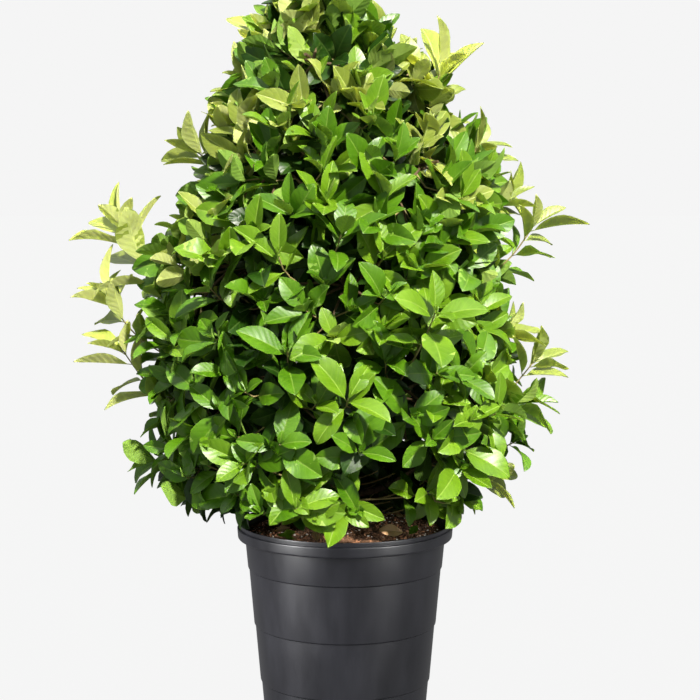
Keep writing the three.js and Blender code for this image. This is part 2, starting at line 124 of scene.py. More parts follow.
def place_mesh(name, vertices, faces, materials):
    """A new object at the origin, with a mesh of these points and faces."""
    mesh = bpy.data.meshes.new(name)
    mesh.from_pydata(vertices, [], faces)
    for material in materials:
        mesh.materials.append(material)
    piece = bpy.data.objects.new(name, mesh)
    bpy.context.scene.collection.objects.link(piece)
    return piece


# %% [markdown]
# ## Effects that several finishes share
# Plastic, bark, soil and leaves all vary a little from place to place, and all have a fine
# surface grain. Both effects are shader groups, built once. They put out only a colour, a mask
# or a height, and each material sets its own scale and colours on the group's inputs.


# %% Helpers for node trees
def node_group(name, tree_type, inputs, outputs):
    """An empty group with named sockets: the tree, what it is given, and what it puts out."""
    tree = bpy.data.node_groups.new(name, tree_type)
    for label, kind, default in inputs:
        socket = tree.interface.new_socket(label, in_out="INPUT", socket_type=kind)
        if default is not None:
            socket.default_value = default
    for label, kind in outputs:
        tree.interface.new_socket(label, in_out="OUTPUT", socket_type=kind)
    return tree, tree.nodes.new("NodeGroupInput").outputs, tree.nodes.new("NodeGroupOutput").inputs


def wire(tree, node_type, settings=(), **links):
    """Adds a node, sets its plain properties, and feeds its inputs from sockets or values."""
    node = tree.nodes.new(node_type)
    for key, value in settings:
        setattr(node, key, value)
    for key, value in links.items():
        socket = node.inputs[int(key[1:]) if key[1:].isdigit() else key.replace("_", " ")]
        if isinstance(value, bpy.types.NodeSocket):
            tree.links.new(value, socket)
        else:
            socket.default_value = value
    return node


def reckon(tree, operation, *values, node_type="ShaderNodeMath", **links):
    """The result of one step of arithmetic, on numbers or on vectors."""
    links.update({f"i{index}": value for index, value in enumerate(values)})
    return wire(tree, node_type, [("operation", operation)], **links).outputs[0]


def ramp(tree, value, span=(0.0, 1.0), ends=(0.0, 1.0)):
    """A value that runs over a span, turned into one that runs from one end to the other."""
    (low, high), (first, last) = span, ends
    return wire(tree, "ShaderNodeMapRange", i0=value, i1=low, i2=high, i3=first, i4=last).outputs[0]


def mix_colours(tree, share, first, second):
    return wire(tree, "ShaderNodeMix", [("data_type", "RGBA")], i0=share, i6=first, i7=second).outputs[2]


# %% Mottle: two colours in soft patches
COLOUR = "NodeSocketColor"
NUMBER = "NodeSocketFloat"
VECTOR_MATH = "ShaderNodeVectorMath"
BLACK = (0, 0, 0, 1)
WHITE = (1, 1, 1, 1)
PATCH_SPAN = (0.3, 0.7)


def stretched_place(tree, stretch):
    """Where a point is on its piece. A stretch below one draws the pattern out upright."""
    place = wire(tree, "ShaderNodeTexCoord").outputs["Object"]
    scales = wire(tree, "ShaderNodeCombineXYZ", i0=1.0, i1=1.0, i2=stretch).outputs[0]
    return reckon(tree, "MULTIPLY", place, scales, node_type=VECTOR_MATH)


mottle, given, out = node_group(
    "Mottle", "ShaderNodeTree",
    [("Dark", COLOUR, BLACK), ("Light", COLOUR, WHITE), ("Scale", NUMBER, 20.0), ("Stretch", NUMBER, 1.0)],
    [("Colour", COLOUR), ("Mask", NUMBER)],
)
place = stretched_place(mottle, given["Stretch"])
patches = wire(mottle, "ShaderNodeTexNoise", Vector=place, Scale=given["Scale"], Detail=5.0)
spread = ramp(mottle, patches.outputs["Fac"], PATCH_SPAN)
mottle.links.new(mix_colours(mottle, spread, given["Dark"], given["Light"]), out["Colour"])
mottle.links.new(spread, out["Mask"])

# %% Grain: a fine height, with pits in it
grain, given, out = node_group(
    "Grain", "ShaderNodeTree", [("Scale", NUMBER, 400.0), ("Stretch", NUMBER, 1.0)], [("Height", NUMBER)]
)
place = stretched_place(grain, given["Stretch"])
specks = wire(grain, "ShaderNodeTexNoise", Vector=place, Scale=given["Scale"], Detail=3.0)
pits = wire(grain, "ShaderNodeTexVoronoi", Vector=place, Scale=given["Scale"])
grain.links.new(reckon(grain, "ADD", specks.outputs["Fac"], pits.outputs["Distance"]), out["Height"])
print("shader groups:", mottle.name, grain.name)

# %% [markdown]
# ## One pattern for every leaf blade
# A viburnum leaf has a pale midrib and faint side veins that rise from it like a herringbone,
# with the blade quilted between them. Each leaf carries its own map: along the leaf from stalk
# to tip, and across it from edge to edge. The group reads that map, so that veins follow every
# leaf however it bends, and the patches over the whole plant keep any two leaves from matching.

# %% Blade: side veins over mottled colour
VEIN_PAIRS = 8.0
VEIN_SLANT = 1.7
VEIN_WIDTH = 0.13
BLADE_PATCHES = 17.0
EDGE_SPAN = (0.46, 0.5)
EDGE_SHOW = 1.5
MIDRIB_SPAN = (0.012, 0.03)
MIDRIB_SHOW = 3.0
blade, given, out = node_group(
    "Blade", "ShaderNodeTree",
    [("Dark", COLOUR, BLACK), ("Light", COLOUR, WHITE), ("Vein", COLOUR, WHITE), ("Vein show", NUMBER, 0.2)],
    [("Colour", COLOUR), ("Mask", NUMBER), ("Height", NUMBER)],
)
leaf_map = wire(blade, "ShaderNodeUVMap", [("uv_map", "blade")])
along, across, _ = wire(blade, "ShaderNodeSeparateXYZ", Vector=leaf_map.outputs[0]).outputs
across = reckon(blade, "ABSOLUTE", reckon(blade, "SUBTRACT", across, 0.5))
slant = reckon(blade, "MULTIPLY", across, -2 * VEIN_SLANT)
ridge = reckon(blade, "PINGPONG", reckon(blade, "MULTIPLY_ADD", along, VEIN_PAIRS, slant), 0.5)
vein = ramp(blade, ridge, (0.0, VEIN_WIDTH), (1.0, 0.0))
edge = ramp(blade, across, EDGE_SPAN, (0.0, EDGE_SHOW))
midrib = ramp(blade, across, MIDRIB_SPAN, (MIDRIB_SHOW, 0.0))
lines = reckon(blade, "MAXIMUM", reckon(blade, "MAXIMUM", vein, edge), midrib)
show = wire(blade, "ShaderNodeMath", [("operation", "MULTIPLY"), ("use_clamp", True)],
            i0=lines, i1=given["Vein show"]).outputs[0]
patch = wire(blade, "ShaderNodeGroup", [("node_tree", mottle)],
             Dark=given["Dark"], Light=given["Light"], Scale=BLADE_PATCHES).outputs
blade.links.new(mix_colours(blade, show, patch["Colour"], given["Vein"]), out["Colour"])
blade.links.new(patch["Mask"], out["Mask"])
blade.links.new(ridge, out["Height"])
print("shader group:", blade.name)

# %% [markdown]
# ## Finishes
# Each finish is one Principled surface. Its colour, roughness and bump come from the groups,
# and whatever is the same all over, such as how strongly it shines, is set on the shader.


# %% A helper for finishes
GLOW_COLOUR = (1.0, 1.0, 0.3)
GLOW_DEPTH = 0.002


def finish(name, group, values, roughness, grain_values, bump, depth, shine, glow=0.0):
    """A Principled finish from a group, whose mask moves the roughness between two values.

    The relief's height comes from the grain or, where none is given, from the group itself.
    """
    material = bpy.data.materials.new(name)
    material.use_nodes = True
    tree = material.node_tree
    shader = tree.nodes["Principled BSDF"]
    look = wire(tree, "ShaderNodeGroup", [("node_tree", group)], **values).outputs
    fine = look
    if grain_values:
        fine = wire(tree, "ShaderNodeGroup", [("node_tree", grain)], **grain_values).outputs
    relief = wire(tree, "ShaderNodeBump", Strength=bump, Distance=depth, Height=fine["Height"])
    tree.links.new(look["Colour"], shader.inputs["Base Color"])
    tree.links.new(ramp(tree, look["Mask"], ends=roughness), shader.inputs["Roughness"])
    tree.links.new(relief.outputs[0], shader.inputs["Normal"])
    shader.inputs["Specular IOR Level"].default_value = shine
    shader.subsurface_method = "BURLEY"
    shader.inputs["Subsurface Weight"].default_value = glow
    shader.inputs["Subsurface Radius"].default_value = GLOW_COLOUR
    shader.inputs["Subsurface Scale"].default_value = GLOW_DEPTH
    return material


# %% [markdown]
# ## The pot
# A nursery pot is blown or moulded from black plastic: a tapering wall in four steps, a deep
# rim whose shoulder catches the light, and an upright collar to a thin lip. A turned shape needs
# only its profile, so the profile is written as short runs and swept round the axis. Small
# rounds on the steps and the rim show as bright lines, which a sharp solid can't.

# %% Pot sizes
RIM_HEIGHT = 0.025
RIM_TAPER = 0.0010
COLLAR_HEIGHT = 0.0072
COLLAR_INSET = 0.0036
COLLAR_FLARE = 0.0006
COLLAR_STEP = 0.0014
SHOULDER_ROUND = 0.0019
LIP_ROUND = 0.0011
UNDER_ROUND = 0.0028
NECK_RADIUS = 0.1672
NECK_DRAW = 0.0003
NECK_RUN = (0.006, 0.001)
WALL_TAPER = 0.0845
STEP_HEIGHTS = (0.070, 0.166, 0.262)
STEP_DEPTH = 0.0020
STEP_RISE = 0.0017
STEP_DRAW = 0.0004
STEP_RUN = 0.004
GROOVE_DEPTH = 0.0010
GROOVE_HEIGHT = 0.0008
WALL_THICKNESS = 0.003
FLOOR_THICKNESS = 0.004
FOOT_ROUND = 0.003
FOOT_MIDDLE = 0.6
INNER_THROAT = (0.003, 0.006)
INNER_NECK = 0.004
INNER_STEP = (0.004, 0.002)
INNER_HEEL = (0.008, 0.02)
INNER_FLOOR = 0.02
EASE = 0.0001
NECK_HEIGHT = POT_HEIGHT - RIM_HEIGHT
print("wall", round(NECK_HEIGHT, 3), "m high under a rim of", RIM_HEIGHT, "m")


# %% Pot profile
def wall_radius(height, ledges_above):
    return NECK_RADIUS - WALL_TAPER * (NECK_HEIGHT - height) - STEP_DEPTH * ledges_above


def arc(centre_r, centre_z, radius, start, end, steps=4):
    """A rounded run of a profile, from one angle to another in degrees."""
    angles = np.radians(np.linspace(start, end, steps + 1))
    return [(centre_r + radius * math.cos(a), centre_z + radius * math.sin(a)) for a in angles]


def wall_run():
    """From the middle of the underside up the stepped wall to the neck, with a groove under each step."""
    foot = wall_radius(0, len(STEP_HEIGHTS))
    run = [(0.0, 0.0), (foot * FOOT_MIDDLE, 0.0)]
    run += arc(foot - FOOT_ROUND, FOOT_ROUND, FOOT_ROUND, -90, 0)
    for index, step in enumerate(STEP_HEIGHTS):
        ledges = len(STEP_HEIGHTS) - index
        narrow, wide = wall_radius(step, ledges), wall_radius(step, ledges - 1)
        run += [(narrow - STEP_DRAW, step - GROOVE_HEIGHT - STEP_RUN), (narrow, step - GROOVE_HEIGHT)]
        run += [(narrow - GROOVE_DEPTH, step - 0.5 * GROOVE_HEIGHT), (narrow - GROOVE_DEPTH, step)]
        run += arc(wide - STEP_RISE, step + STEP_RISE, STEP_RISE, -80, 0, 3)
    run += [(NECK_RADIUS - NECK_DRAW, NECK_HEIGHT - NECK_RUN[0]), (NECK_RADIUS, NECK_HEIGHT - NECK_RUN[1])]
    return run


def rim_run():
    """Out under the rim, up its side, over the shoulder and the collar, and round the lip."""
    under = RIM_RADIUS - RIM_TAPER
    shoulder = POT_HEIGHT - COLLAR_HEIGHT
    collar = RIM_RADIUS - COLLAR_INSET
    run = arc(under - UNDER_ROUND, NECK_HEIGHT + UNDER_ROUND, UNDER_ROUND, -90, -5)
    run += [(under + EASE, NECK_HEIGHT + UNDER_ROUND + 10 * EASE)]
    run += [(RIM_RADIUS, shoulder - SHOULDER_ROUND - 5 * EASE)]
    run += arc(RIM_RADIUS - SHOULDER_ROUND, shoulder - SHOULDER_ROUND, SHOULDER_ROUND, 0, 80, 5)
    run += [(collar, shoulder + EASE), (collar + EASE, shoulder + COLLAR_STEP)]
    run += [(collar + COLLAR_FLARE, POT_HEIGHT - LIP_ROUND - 5 * EASE)]
    run += arc(collar + COLLAR_FLARE - LIP_ROUND, POT_HEIGHT - LIP_ROUND, LIP_ROUND, 0, 180, 10)
    return run


def inner_run():
    """Down the inside, which the mix hides, to the middle of the pot's floor."""
    inner = RIM_RADIUS - COLLAR_INSET + COLLAR_FLARE - 2 * LIP_ROUND
    foot = wall_radius(0, len(STEP_HEIGHTS))
    step = STEP_HEIGHTS[-1] - INNER_STEP[1]
    run = [(inner - INNER_THROAT[0], NECK_HEIGHT + INNER_THROAT[1])]
    run += [(NECK_RADIUS - WALL_THICKNESS, NECK_HEIGHT - INNER_NECK)]
    run += [(wall_radius(step, 1) - WALL_THICKNESS - INNER_STEP[0], step)]
    run += [(foot - INNER_HEEL[0], INNER_HEEL[1])]
    return run + [(foot - INNER_FLOOR, FLOOR_THICKNESS), (0.0, FLOOR_THICKNESS)]


pot_profile = wall_run() + rim_run() + inner_run()
print(len(pot_profile), "points in the pot's section")


# %% Sweep a profile round the axis
def turned(profile, sides):
    """Points and faces of a profile swept round the Z axis; ends on the axis become one point."""
    vertices, rings, faces = [], [], []
    for radius, height in profile:
        if radius == 0:
            rings.append([len(vertices)] * sides)
            vertices.append((0.0, 0.0, height))
            continue
        rings.append(list(range(len(vertices), len(vertices) + sides)))
        for side in range(sides):
            angle = 2 * math.pi * side / sides
            vertices.append((radius * math.cos(angle), radius * math.sin(angle), height))
    for low, high in zip(rings, rings[1:]):
        for side in range(sides):
            after = (side + 1) % sides
            corners = [low[side], low[after], high[after], high[side]]
            faces.append(list(dict.fromkeys(corners)))
    return vertices, faces


# %% Pot finish and mesh
POT_SIDES = 144
SHARP_ANGLE = math.radians(40)
POT_DARK = (0.0050, 0.0050, 0.0066, 1)
POT_LIGHT = (0.0082, 0.0082, 0.0108, 1)
pot_plastic = finish(
    "pot_plastic", mottle, {"Dark": POT_DARK, "Light": POT_LIGHT, "Scale": 26.0, "Stretch": 0.35},
    roughness=(0.33, 0.43), grain_values={"Scale": 900.0}, bump=0.05, depth=0.0003, shine=0.5,
)
pot = place_mesh("pot_shell", *turned(pot_profile, POT_SIDES), [pot_plastic])
pot.data.shade_smooth()
pot.data.set_sharp_from_angle(angle=SHARP_ANGLE)
settle(pot, "pot_plastic", "pot")

# %% [markdown]
# ## Potting mix
# The mix is composted bark: a dark, moist, crumbly top, with slivers of bark, white grains of
# perlite and a few fallen leaves. The bed is a round sheet of points lifted by a few waves, with
# a flat underside to close it. The bits are scattered over the bed by Geometry Nodes, because
# that is what the nodes do best: points on a surface, a grain on each, all turned and sized.

# %% Soil bed
SOIL_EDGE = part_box("soil")[1][0]
SOIL_RINGS = 26
SOIL_SIDES = 72
SOIL_DEPTH = 0.05
SOIL_TAPER = 0.96
SOIL_SINK = 0.006
BROAD_WAVE = 0.0016
BROAD_RATES = (61, 53)
BROAD_START = 1.3
FINE_WAVE = 0.0012
FINE_RATES = (117, 88)
WAVE_GROWTH = 3
MOUND = 0.014
MOUND_SPREAD = 0.075


def soil_height(x, y):
    """The bed's own bumps, falling a little towards the wall and heaped up round the trunk."""
    broad = BROAD_WAVE * math.sin(BROAD_RATES[0] * x + BROAD_START) * math.cos(BROAD_RATES[1] * y)
    bumps = broad + FINE_WAVE * math.sin(FINE_RATES[0] * x - FINE_RATES[1] * y)
    away = math.hypot(x, y) / SOIL_EDGE
    heap = MOUND * math.exp(-((x * x + y * y) / MOUND_SPREAD**2))
    return SOIL_TOP - SOIL_SINK * away**2 + bumps * min(1, away * WAVE_GROWTH) + heap


vertices = [(0.0, 0.0, soil_height(0, 0))]
faces = []
for ring in range(1, SOIL_RINGS + 1):
    for side in range(SOIL_SIDES):
        angle = 2 * math.pi * side / SOIL_SIDES
        x = SOIL_EDGE * ring / SOIL_RINGS * math.cos(angle)
        y = SOIL_EDGE * ring / SOIL_RINGS * math.sin(angle)
        vertices.append((x, y, soil_height(x, y)))
for side in range(SOIL_SIDES):
    after = (side + 1) % SOIL_SIDES
    faces.append((0, 1 + side, 1 + after))
    for ring in range(SOIL_RINGS - 1):
        low = 1 + ring * SOIL_SIDES
        high = low + SOIL_SIDES
        faces.append((low + side, high + side, high + after, low + after))
rim_start = 1 + (SOIL_RINGS - 1) * SOIL_SIDES
under = len(vertices)
for side in range(SOIL_SIDES):
    x, y, _ = vertices[rim_start + side]
    vertices.append((x * SOIL_TAPER, y * SOIL_TAPER, SOIL_TOP - SOIL_DEPTH))
for side in range(SOIL_SIDES):
    after = (side + 1) % SOIL_SIDES
    faces.append((rim_start + side, under + side, under + after, rim_start + after))
faces.append(tuple(under + side for side in reversed(range(SOIL_SIDES))))

# %% Soil finish and mesh
SOIL_DARK = (0.045, 0.022, 0.012, 1)
SOIL_LIGHT = (0.225, 0.118, 0.062, 1)
mix_finish = finish(
    "potting_mix", mottle, {"Dark": SOIL_DARK, "Light": SOIL_LIGHT, "Scale": 90.0},
    roughness=(0.75, 0.95), grain_values={"Scale": 260.0}, bump=0.9, depth=0.004, shine=0.25,
)
soil = place_mesh("potting_mix", vertices, faces, [mix_finish])
soil.data.shade_smooth()
settle(soil, "potting_mix", "soil")

# %% Geometry Nodes: strew grains over a bed
GEOMETRY = "NodeSocketGeometry"
FACING_UP = 0.5
GRAIN_WOBBLE = 2.4
GRAIN_TURN = (0.7, 0.7, 6.28)
strew, given, out = node_group("Strew grains", "GeometryNodeTree", [
    ("Geometry", GEOMETRY, None), ("Density", NUMBER, 1000.0),
    ("Grain", "NodeSocketVector", (0.004, 0.004, 0.004)), ("Smallest", NUMBER, 0.5),
    ("Roughen", NUMBER, 0.3), ("Seed", "NodeSocketInt", 1), ("Material", "NodeSocketMaterial", None),
], [("Geometry", GEOMETRY)])
normal = wire(strew, "GeometryNodeInputNormal")
facing = wire(strew, "ShaderNodeSeparateXYZ", Vector=normal.outputs[0])
upper = wire(strew, "FunctionNodeCompare", [("operation", "GREATER_THAN")],
             i0=facing.outputs[2], i1=FACING_UP)
spots = wire(strew, "GeometryNodeDistributePointsOnFaces", Mesh=given["Geometry"],
             Selection=upper.outputs[0], Density=given["Density"], Seed=given["Seed"])
lump = wire(strew, "GeometryNodeMeshIcoSphere", Radius=0.5, Subdivisions=1)
wobble = wire(strew, "ShaderNodeTexNoise", Scale=GRAIN_WOBBLE)
shift = reckon(strew, "SUBTRACT", wobble.outputs["Color"], (0.5, 0.5, 0.5), node_type=VECTOR_MATH)
shift = reckon(strew, "SCALE", shift, node_type=VECTOR_MATH, Scale=given["Roughen"])
lump = wire(strew, "GeometryNodeSetPosition", Geometry=lump.outputs[0], Offset=shift)
turn = wire(strew, "FunctionNodeRandomValue", [("data_type", "FLOAT_VECTOR")], i0=(0, 0, 0),
            i1=GRAIN_TURN, Seed=given["Seed"])
size = wire(strew, "FunctionNodeRandomValue", i2=given["Smallest"], i3=1.0, Seed=given["Seed"])
size = reckon(strew, "SCALE", given["Grain"], node_type=VECTOR_MATH, Scale=size.outputs[1])
grains = wire(strew, "GeometryNodeInstanceOnPoints", Points=spots.outputs[0],
              Instance=lump.outputs[0], Rotation=turn.outputs[0], Scale=size)
grains = wire(strew, "GeometryNodeRealizeInstances", Geometry=grains.outputs[0])
grains = wire(strew, "GeometryNodeSetMaterial", Geometry=grains.outputs[0], Material=given["Material"])
strew.links.new(grains.outputs[0], out["Geometry"])


def run_tree(name, base_mesh, tree, values):
    """Runs a geometry tree on a mesh and keeps what it makes as a plain mesh."""
    carrier = bpy.data.objects.new(name, base_mesh)
    bpy.context.scene.collection.objects.link(carrier)
    modifier = carrier.modifiers.new(name, "NODES")
    modifier.node_group = tree
    for socket in tree.interface.items_tree:
        if socket.in_out == "INPUT" and socket.name in values:
            modifier[socket.identifier] = values[socket.name]
    depsgraph = bpy.context.evaluated_depsgraph_get()
    made = bpy.data.meshes.new_from_object(carrier.evaluated_get(depsgraph), depsgraph=depsgraph)
    carrier.modifiers.clear()
    carrier.data = made
    made.name = name
    return carrier


# %% Bark chips, crumbs and white grains
chip_finish = finish(
    "bark_chips", mottle,
    {"Dark": (0.080, 0.035, 0.017, 1), "Light": (0.42, 0.20, 0.10, 1), "Scale": 70.0},
    roughness=(0.7, 0.9), grain_values={"Scale": 500.0, "Stretch": 0.4},
    bump=0.5, depth=0.001, shine=0.3,
)
perlite_finish = finish(
    "perlite", mottle,
    {"Dark": (0.50, 0.46, 0.39, 1), "Light": (0.85, 0.83, 0.76, 1), "Scale": 160.0},
    roughness=(0.7, 0.9), grain_values={"Scale": 900.0}, bump=0.5, depth=0.0006, shine=0.3,
)
GRAINS = {
    "bark_chips": {"Density": 5200.0, "Grain": (0.013, 0.006, 0.0036), "Smallest": 0.45,
                   "Roughen": 0.9, "Seed": 3, "Material": chip_finish},
    "bark_crumbs": {"Density": 16000.0, "Grain": (0.0055, 0.0042, 0.0030), "Smallest": 0.4,
                    "Roughen": 0.8, "Seed": 7, "Material": mix_finish},
    "perlite_grains": {"Density": 2600.0, "Grain": (0.0050, 0.0045, 0.0040), "Smallest": 0.35,
                       "Roughen": 0.5, "Seed": 11, "Material": perlite_finish},
}
bed_pieces = [soil]
for name, values in GRAINS.items():
    bed_pieces.append(settle(run_tree(name, soil.data, strew, values), "potting_mix"))

# %% [markdown]
# ## The plant's rule of growth
# The solids grow by a rule, and the same rule is written again here: a trunk that wanders a
# little, an egg-shaped crown round it, and tiers of boughs that share the crown out between
# them. Each bough carries a stem, and each stem a few twigs. Where the solids stop at a whorl
# of three leaves, we go on to finer shoots with pairs of leaves, inside the same outline.

# %% Trunk line and crown outline
TRUNK_FOOT = 0.014
TRUNK_TIP = 0.0045
TRUNK_LEAN = 0.026
TRUNK_BACK = 0.0078
WANDER = 0.007
WANDER_BACK = 0.8
WANDER_RATE = 9
WANDER_START = 0.12
FLARE = 0.011
FLARE_FADE = 0.016
CROWN_WIDEST = 0.205
CROWN_RADIUS = 0.334
CROWN_FOOT = 0.024
CROWN_TIP = 1.0
CROWN_POWER = 2.3
SKIRT_DRAW = 0.36
WAIST = {"depth": 0.018, "height": 0.41, "spread": 0.08}
LEANS = (
    {"left": 0.050, "height": 0.00, "spread": 0.13},
    {"left": 0.029, "height": 0.31, "spread": 0.17},
    {"left": -0.022, "height": 0.58, "spread": 0.08},
    {"left": 0.034, "height": 0.90, "spread": 0.12},
)


def axis_at(height):
    """The trunk's centre line, above the soil."""
    wander = WANDER * math.sin(WANDER_RATE * height) * min(1, height / WANDER_START)
    return np.array([wander - TRUNK_LEAN * height**2, WANDER_BACK * wander + TRUNK_BACK * height, height])


def trunk_radius(height):
    return lerp(TRUNK_FOOT, TRUNK_TIP, height / TRUNK_HEIGHT) + FLARE * math.exp(-height / FLARE_FADE)


def swell(height, at, spread):
    """One at a given height, fading to nothing above and below it."""
    return math.exp(-(((height - at) / spread) ** 2))


def crown_radius(height):
    """The crown's outline: drawn in at the skirt, widest low down, then an egg's long shoulder."""
    if height < CROWN_WIDEST:
        draw = (CROWN_WIDEST - height) / (CROWN_WIDEST - CROWN_FOOT)
        return CROWN_RADIUS * (1 - SKIRT_DRAW * draw**2)
    rise = min(1, (height - CROWN_WIDEST) / (CROWN_TIP - CROWN_WIDEST))
    waist = WAIST["depth"] * swell(height, WAIST["height"], WAIST["spread"])
    return CROWN_RADIUS * (1 - rise**CROWN_POWER) - waist


def crown_centre(height):
    """The middle of the crown, which leans left of the trunk low down and right at the shoulder."""
    left = sum(lean["left"] * swell(height, lean["height"], lean["spread"]) for lean in LEANS)
    return axis_at(height) - np.array([left, 0, 0])


def level_heading(azimuth):
    return np.array([math.cos(azimuth), math.sin(azimuth), 0])


def crown_point(azimuth, height, radius):
    return crown_centre(height) + radius * level_heading(azimuth)


print("crown", round(2 * crown_radius(CROWN_WIDEST), 3), "m wide,", CROWN_TIP, "m above the soil")

# %% Tiers of boughs
TIERS = (
    {"name": "skirt", "count": 6, "height": 0.098, "start": (0.018, 0.084), "reach": 0.106,
     "rise": 0.040, "turn": -90, "twigs": 7, "half": 0.078},
    {"name": "lower", "count": 7, "height": 0.262, "start": (0.126, 0.214), "reach": 0.112,
     "rise": 0.072, "turn": -64, "twigs": 6, "half": 0.088},
    {"name": "middle", "count": 7, "height": 0.432, "start": (0.290, 0.376), "reach": 0.104,
     "rise": 0.080, "turn": -90, "twigs": 6, "half": 0.088},
    {"name": "upper", "count": 5, "height": 0.600, "start": (0.460, 0.530), "reach": 0.080,
     "rise": 0.080, "turn": -54, "twigs": 7, "half": 0.088},
    {"name": "high", "count": 3, "height": 0.765, "start": (0.640, 0.682), "reach": 0.046,
     "rise": 0.070, "turn": -100, "twigs": 8, "half": 0.088},
)
ZIGZAG = 0.022
TURN_STRAY = 10
HEIGHT_STRAY = 0.012
BOUGH_SHARE = 0.52
BOUGH_BEND = 0.55
BOUGH_SAG = 0.16
STEM_BEND = 0.4
STEM_REACH = 0.8
STEM_LIFT = 0.030
print(sum(tier["count"] for tier in TIERS), "boughs in", len(TIERS), "tiers")

# %% A mass's own twigs
TWIG_FAN = 0.92
TWIG_BEND = 0.45
TWIG_STARTS = (0.25, 0.6)
TWIG_DEPTH = 0.084
TWIG_INNERMOST = 0.030
TWIG_LEVELS = (0.044, 0.938)


def twigs_of(mass, index):
    """The mass's own twigs, fanned out from its stem like the seeds of a sunflower."""
    twigs = []
    for i in range(mass["twigs"]):
        out = TWIG_FAN * math.sqrt((i + 0.7) / mass["twigs"])
        turn = i * GOLDEN_ANGLE + 6 * mass["azimuth"]
        level = mass["height"] + mass["half"] * out * math.sin(turn)
        level = min(max(level, TWIG_LEVELS[0]), TWIG_LEVELS[1])
        sweep = mass["spread"] * out * math.cos(turn)
        radius = max(TWIG_INNERMOST, crown_radius(level) - TWIG_DEPTH)
        target = crown_point(mass["azimuth"] + sweep, level, radius)
        share = TWIG_STARTS[0] + TWIG_STARTS[1] * scatter(index, i, 5)
        start = bezier(mass["stem"], share)
        away = np.linalg.norm(target - start)
        bend = start + TWIG_BEND * away * unit(bezier_tangent(mass["stem"], share) + unit(target - start))
        twigs.append((start, bend, target))
    return twigs


# %% Grow boughs, stems and twigs
TOP_HEIGHT = 0.884
TOP_TWIGS = 8
TOP_HALF = 0.060
boughs, masses = [], []
for t, tier in enumerate(TIERS):
    for i in range(tier["count"]):
        azimuth = tier["turn"] + 360 * i / tier["count"] + TURN_STRAY * (scatter(t, i, 1) - 0.5)
        azimuth = math.radians(azimuth)
        side = 1 if i % 2 else -1
        height = tier["height"] + side * ZIGZAG + HEIGHT_STRAY * (scatter(t, i, 2) - 0.5)
        start = lerp(*tier["start"], ((i % 2) + i / tier["count"]) / 2)
        foot = axis_at(start)
        tip = axis_at(start + tier["rise"]) + tier["reach"] * level_heading(azimuth)
        bend = lerp(foot, tip, BOUGH_BEND) - BOUGH_SAG * np.linalg.norm(tip - foot) * UP
        boughs.append(((foot, bend, tip), BOUGH_SHARE * trunk_radius(start)))
        end = crown_point(azimuth, height + STEM_LIFT, STEM_REACH * crown_radius(height))
        stem = (tip, tip + STEM_BEND * np.linalg.norm(end - tip) * unit(tip - bend), end)
        masses.append({"azimuth": azimuth, "height": height, "stem": stem, "half": tier["half"],
                       "spread": math.pi / tier["count"], "twigs": tier["twigs"]})
trunk_top = axis_at(TRUNK_HEIGHT)
top_end = axis_at(TWIG_LEVELS[1])
masses.append({"azimuth": -math.pi / 2, "height": TOP_HEIGHT, "half": TOP_HALF, "spread": math.pi,
               "twigs": TOP_TWIGS, "stem": (trunk_top, lerp(trunk_top, top_end, 0.5), top_end)})
for index, mass in enumerate(masses):
    mass["branches"] = twigs_of(mass, index)
print(len(boughs), "boughs,", len(masses), "masses,", sum(m["twigs"] for m in masses), "twigs")

# %% [markdown]
# ## Skin for limbs
# Trunk, boughs, stems and twigs are all lines with a thickness. A geometry tree turns such lines
# into closed tubes: each line becomes a curve, gets its radius from an attribute, is swept with a
# round section, and its skin is then pushed in and out by noise to give the bark's ridges.

# %% Geometry Nodes: a skin along lines
RIDGE_STRETCH = (1.0, 1.0, 0.3)
skin, given, out = node_group("Limb skin", "GeometryNodeTree", [
    ("Geometry", GEOMETRY, None), ("Sides", "NodeSocketInt", 8), ("Step", NUMBER, 0.006),
    ("Relief", NUMBER, 0.1), ("Ridge scale", NUMBER, 120.0), ("Material", "NodeSocketMaterial", None),
], [("Geometry", GEOMETRY)])
line = wire(skin, "GeometryNodeMeshToCurve", Mesh=given["Geometry"])
line = wire(skin, "GeometryNodeResampleCurve", [("mode", "LENGTH")], Curve=line.outputs[0],
            Length=given["Step"])
width = wire(skin, "GeometryNodeInputNamedAttribute", [("data_type", "FLOAT")], Name="thickness").outputs[0]
ring = wire(skin, "GeometryNodeCurvePrimitiveCircle", Resolution=given["Sides"], Radius=1.0)
tube = wire(skin, "GeometryNodeCurveToMesh", Curve=line.outputs[0], i1=ring.outputs[0], Scale=width,
            Fill_Caps=True)
where = wire(skin, "GeometryNodeInputPosition").outputs[0]
where = reckon(skin, "MULTIPLY", where, RIDGE_STRETCH, node_type=VECTOR_MATH)
ridges = wire(skin, "ShaderNodeTexNoise", Vector=where, Scale=given["Ridge scale"], Detail=3.0)
ridges = reckon(skin, "SUBTRACT", ridges.outputs["Fac"], 0.5)
depth = reckon(skin, "MULTIPLY", ridges, reckon(skin, "MULTIPLY", width, given["Relief"]))
normal = wire(skin, "GeometryNodeInputNormal").outputs[0]
push = reckon(skin, "SCALE", normal, node_type=VECTOR_MATH, Scale=depth)
tube = wire(skin, "GeometryNodeSetPosition", Geometry=tube.outputs[0], Offset=push)
tube = wire(skin, "GeometryNodeSetShadeSmooth", Geometry=tube.outputs[0])
tube = wire(skin, "GeometryNodeRealizeInstances", Geometry=tube.outputs[0])
tube = wire(skin, "GeometryNodeSetMaterial", Geometry=tube.outputs[0], Material=given["Material"])
skin.links.new(tube.outputs[0], out["Geometry"])


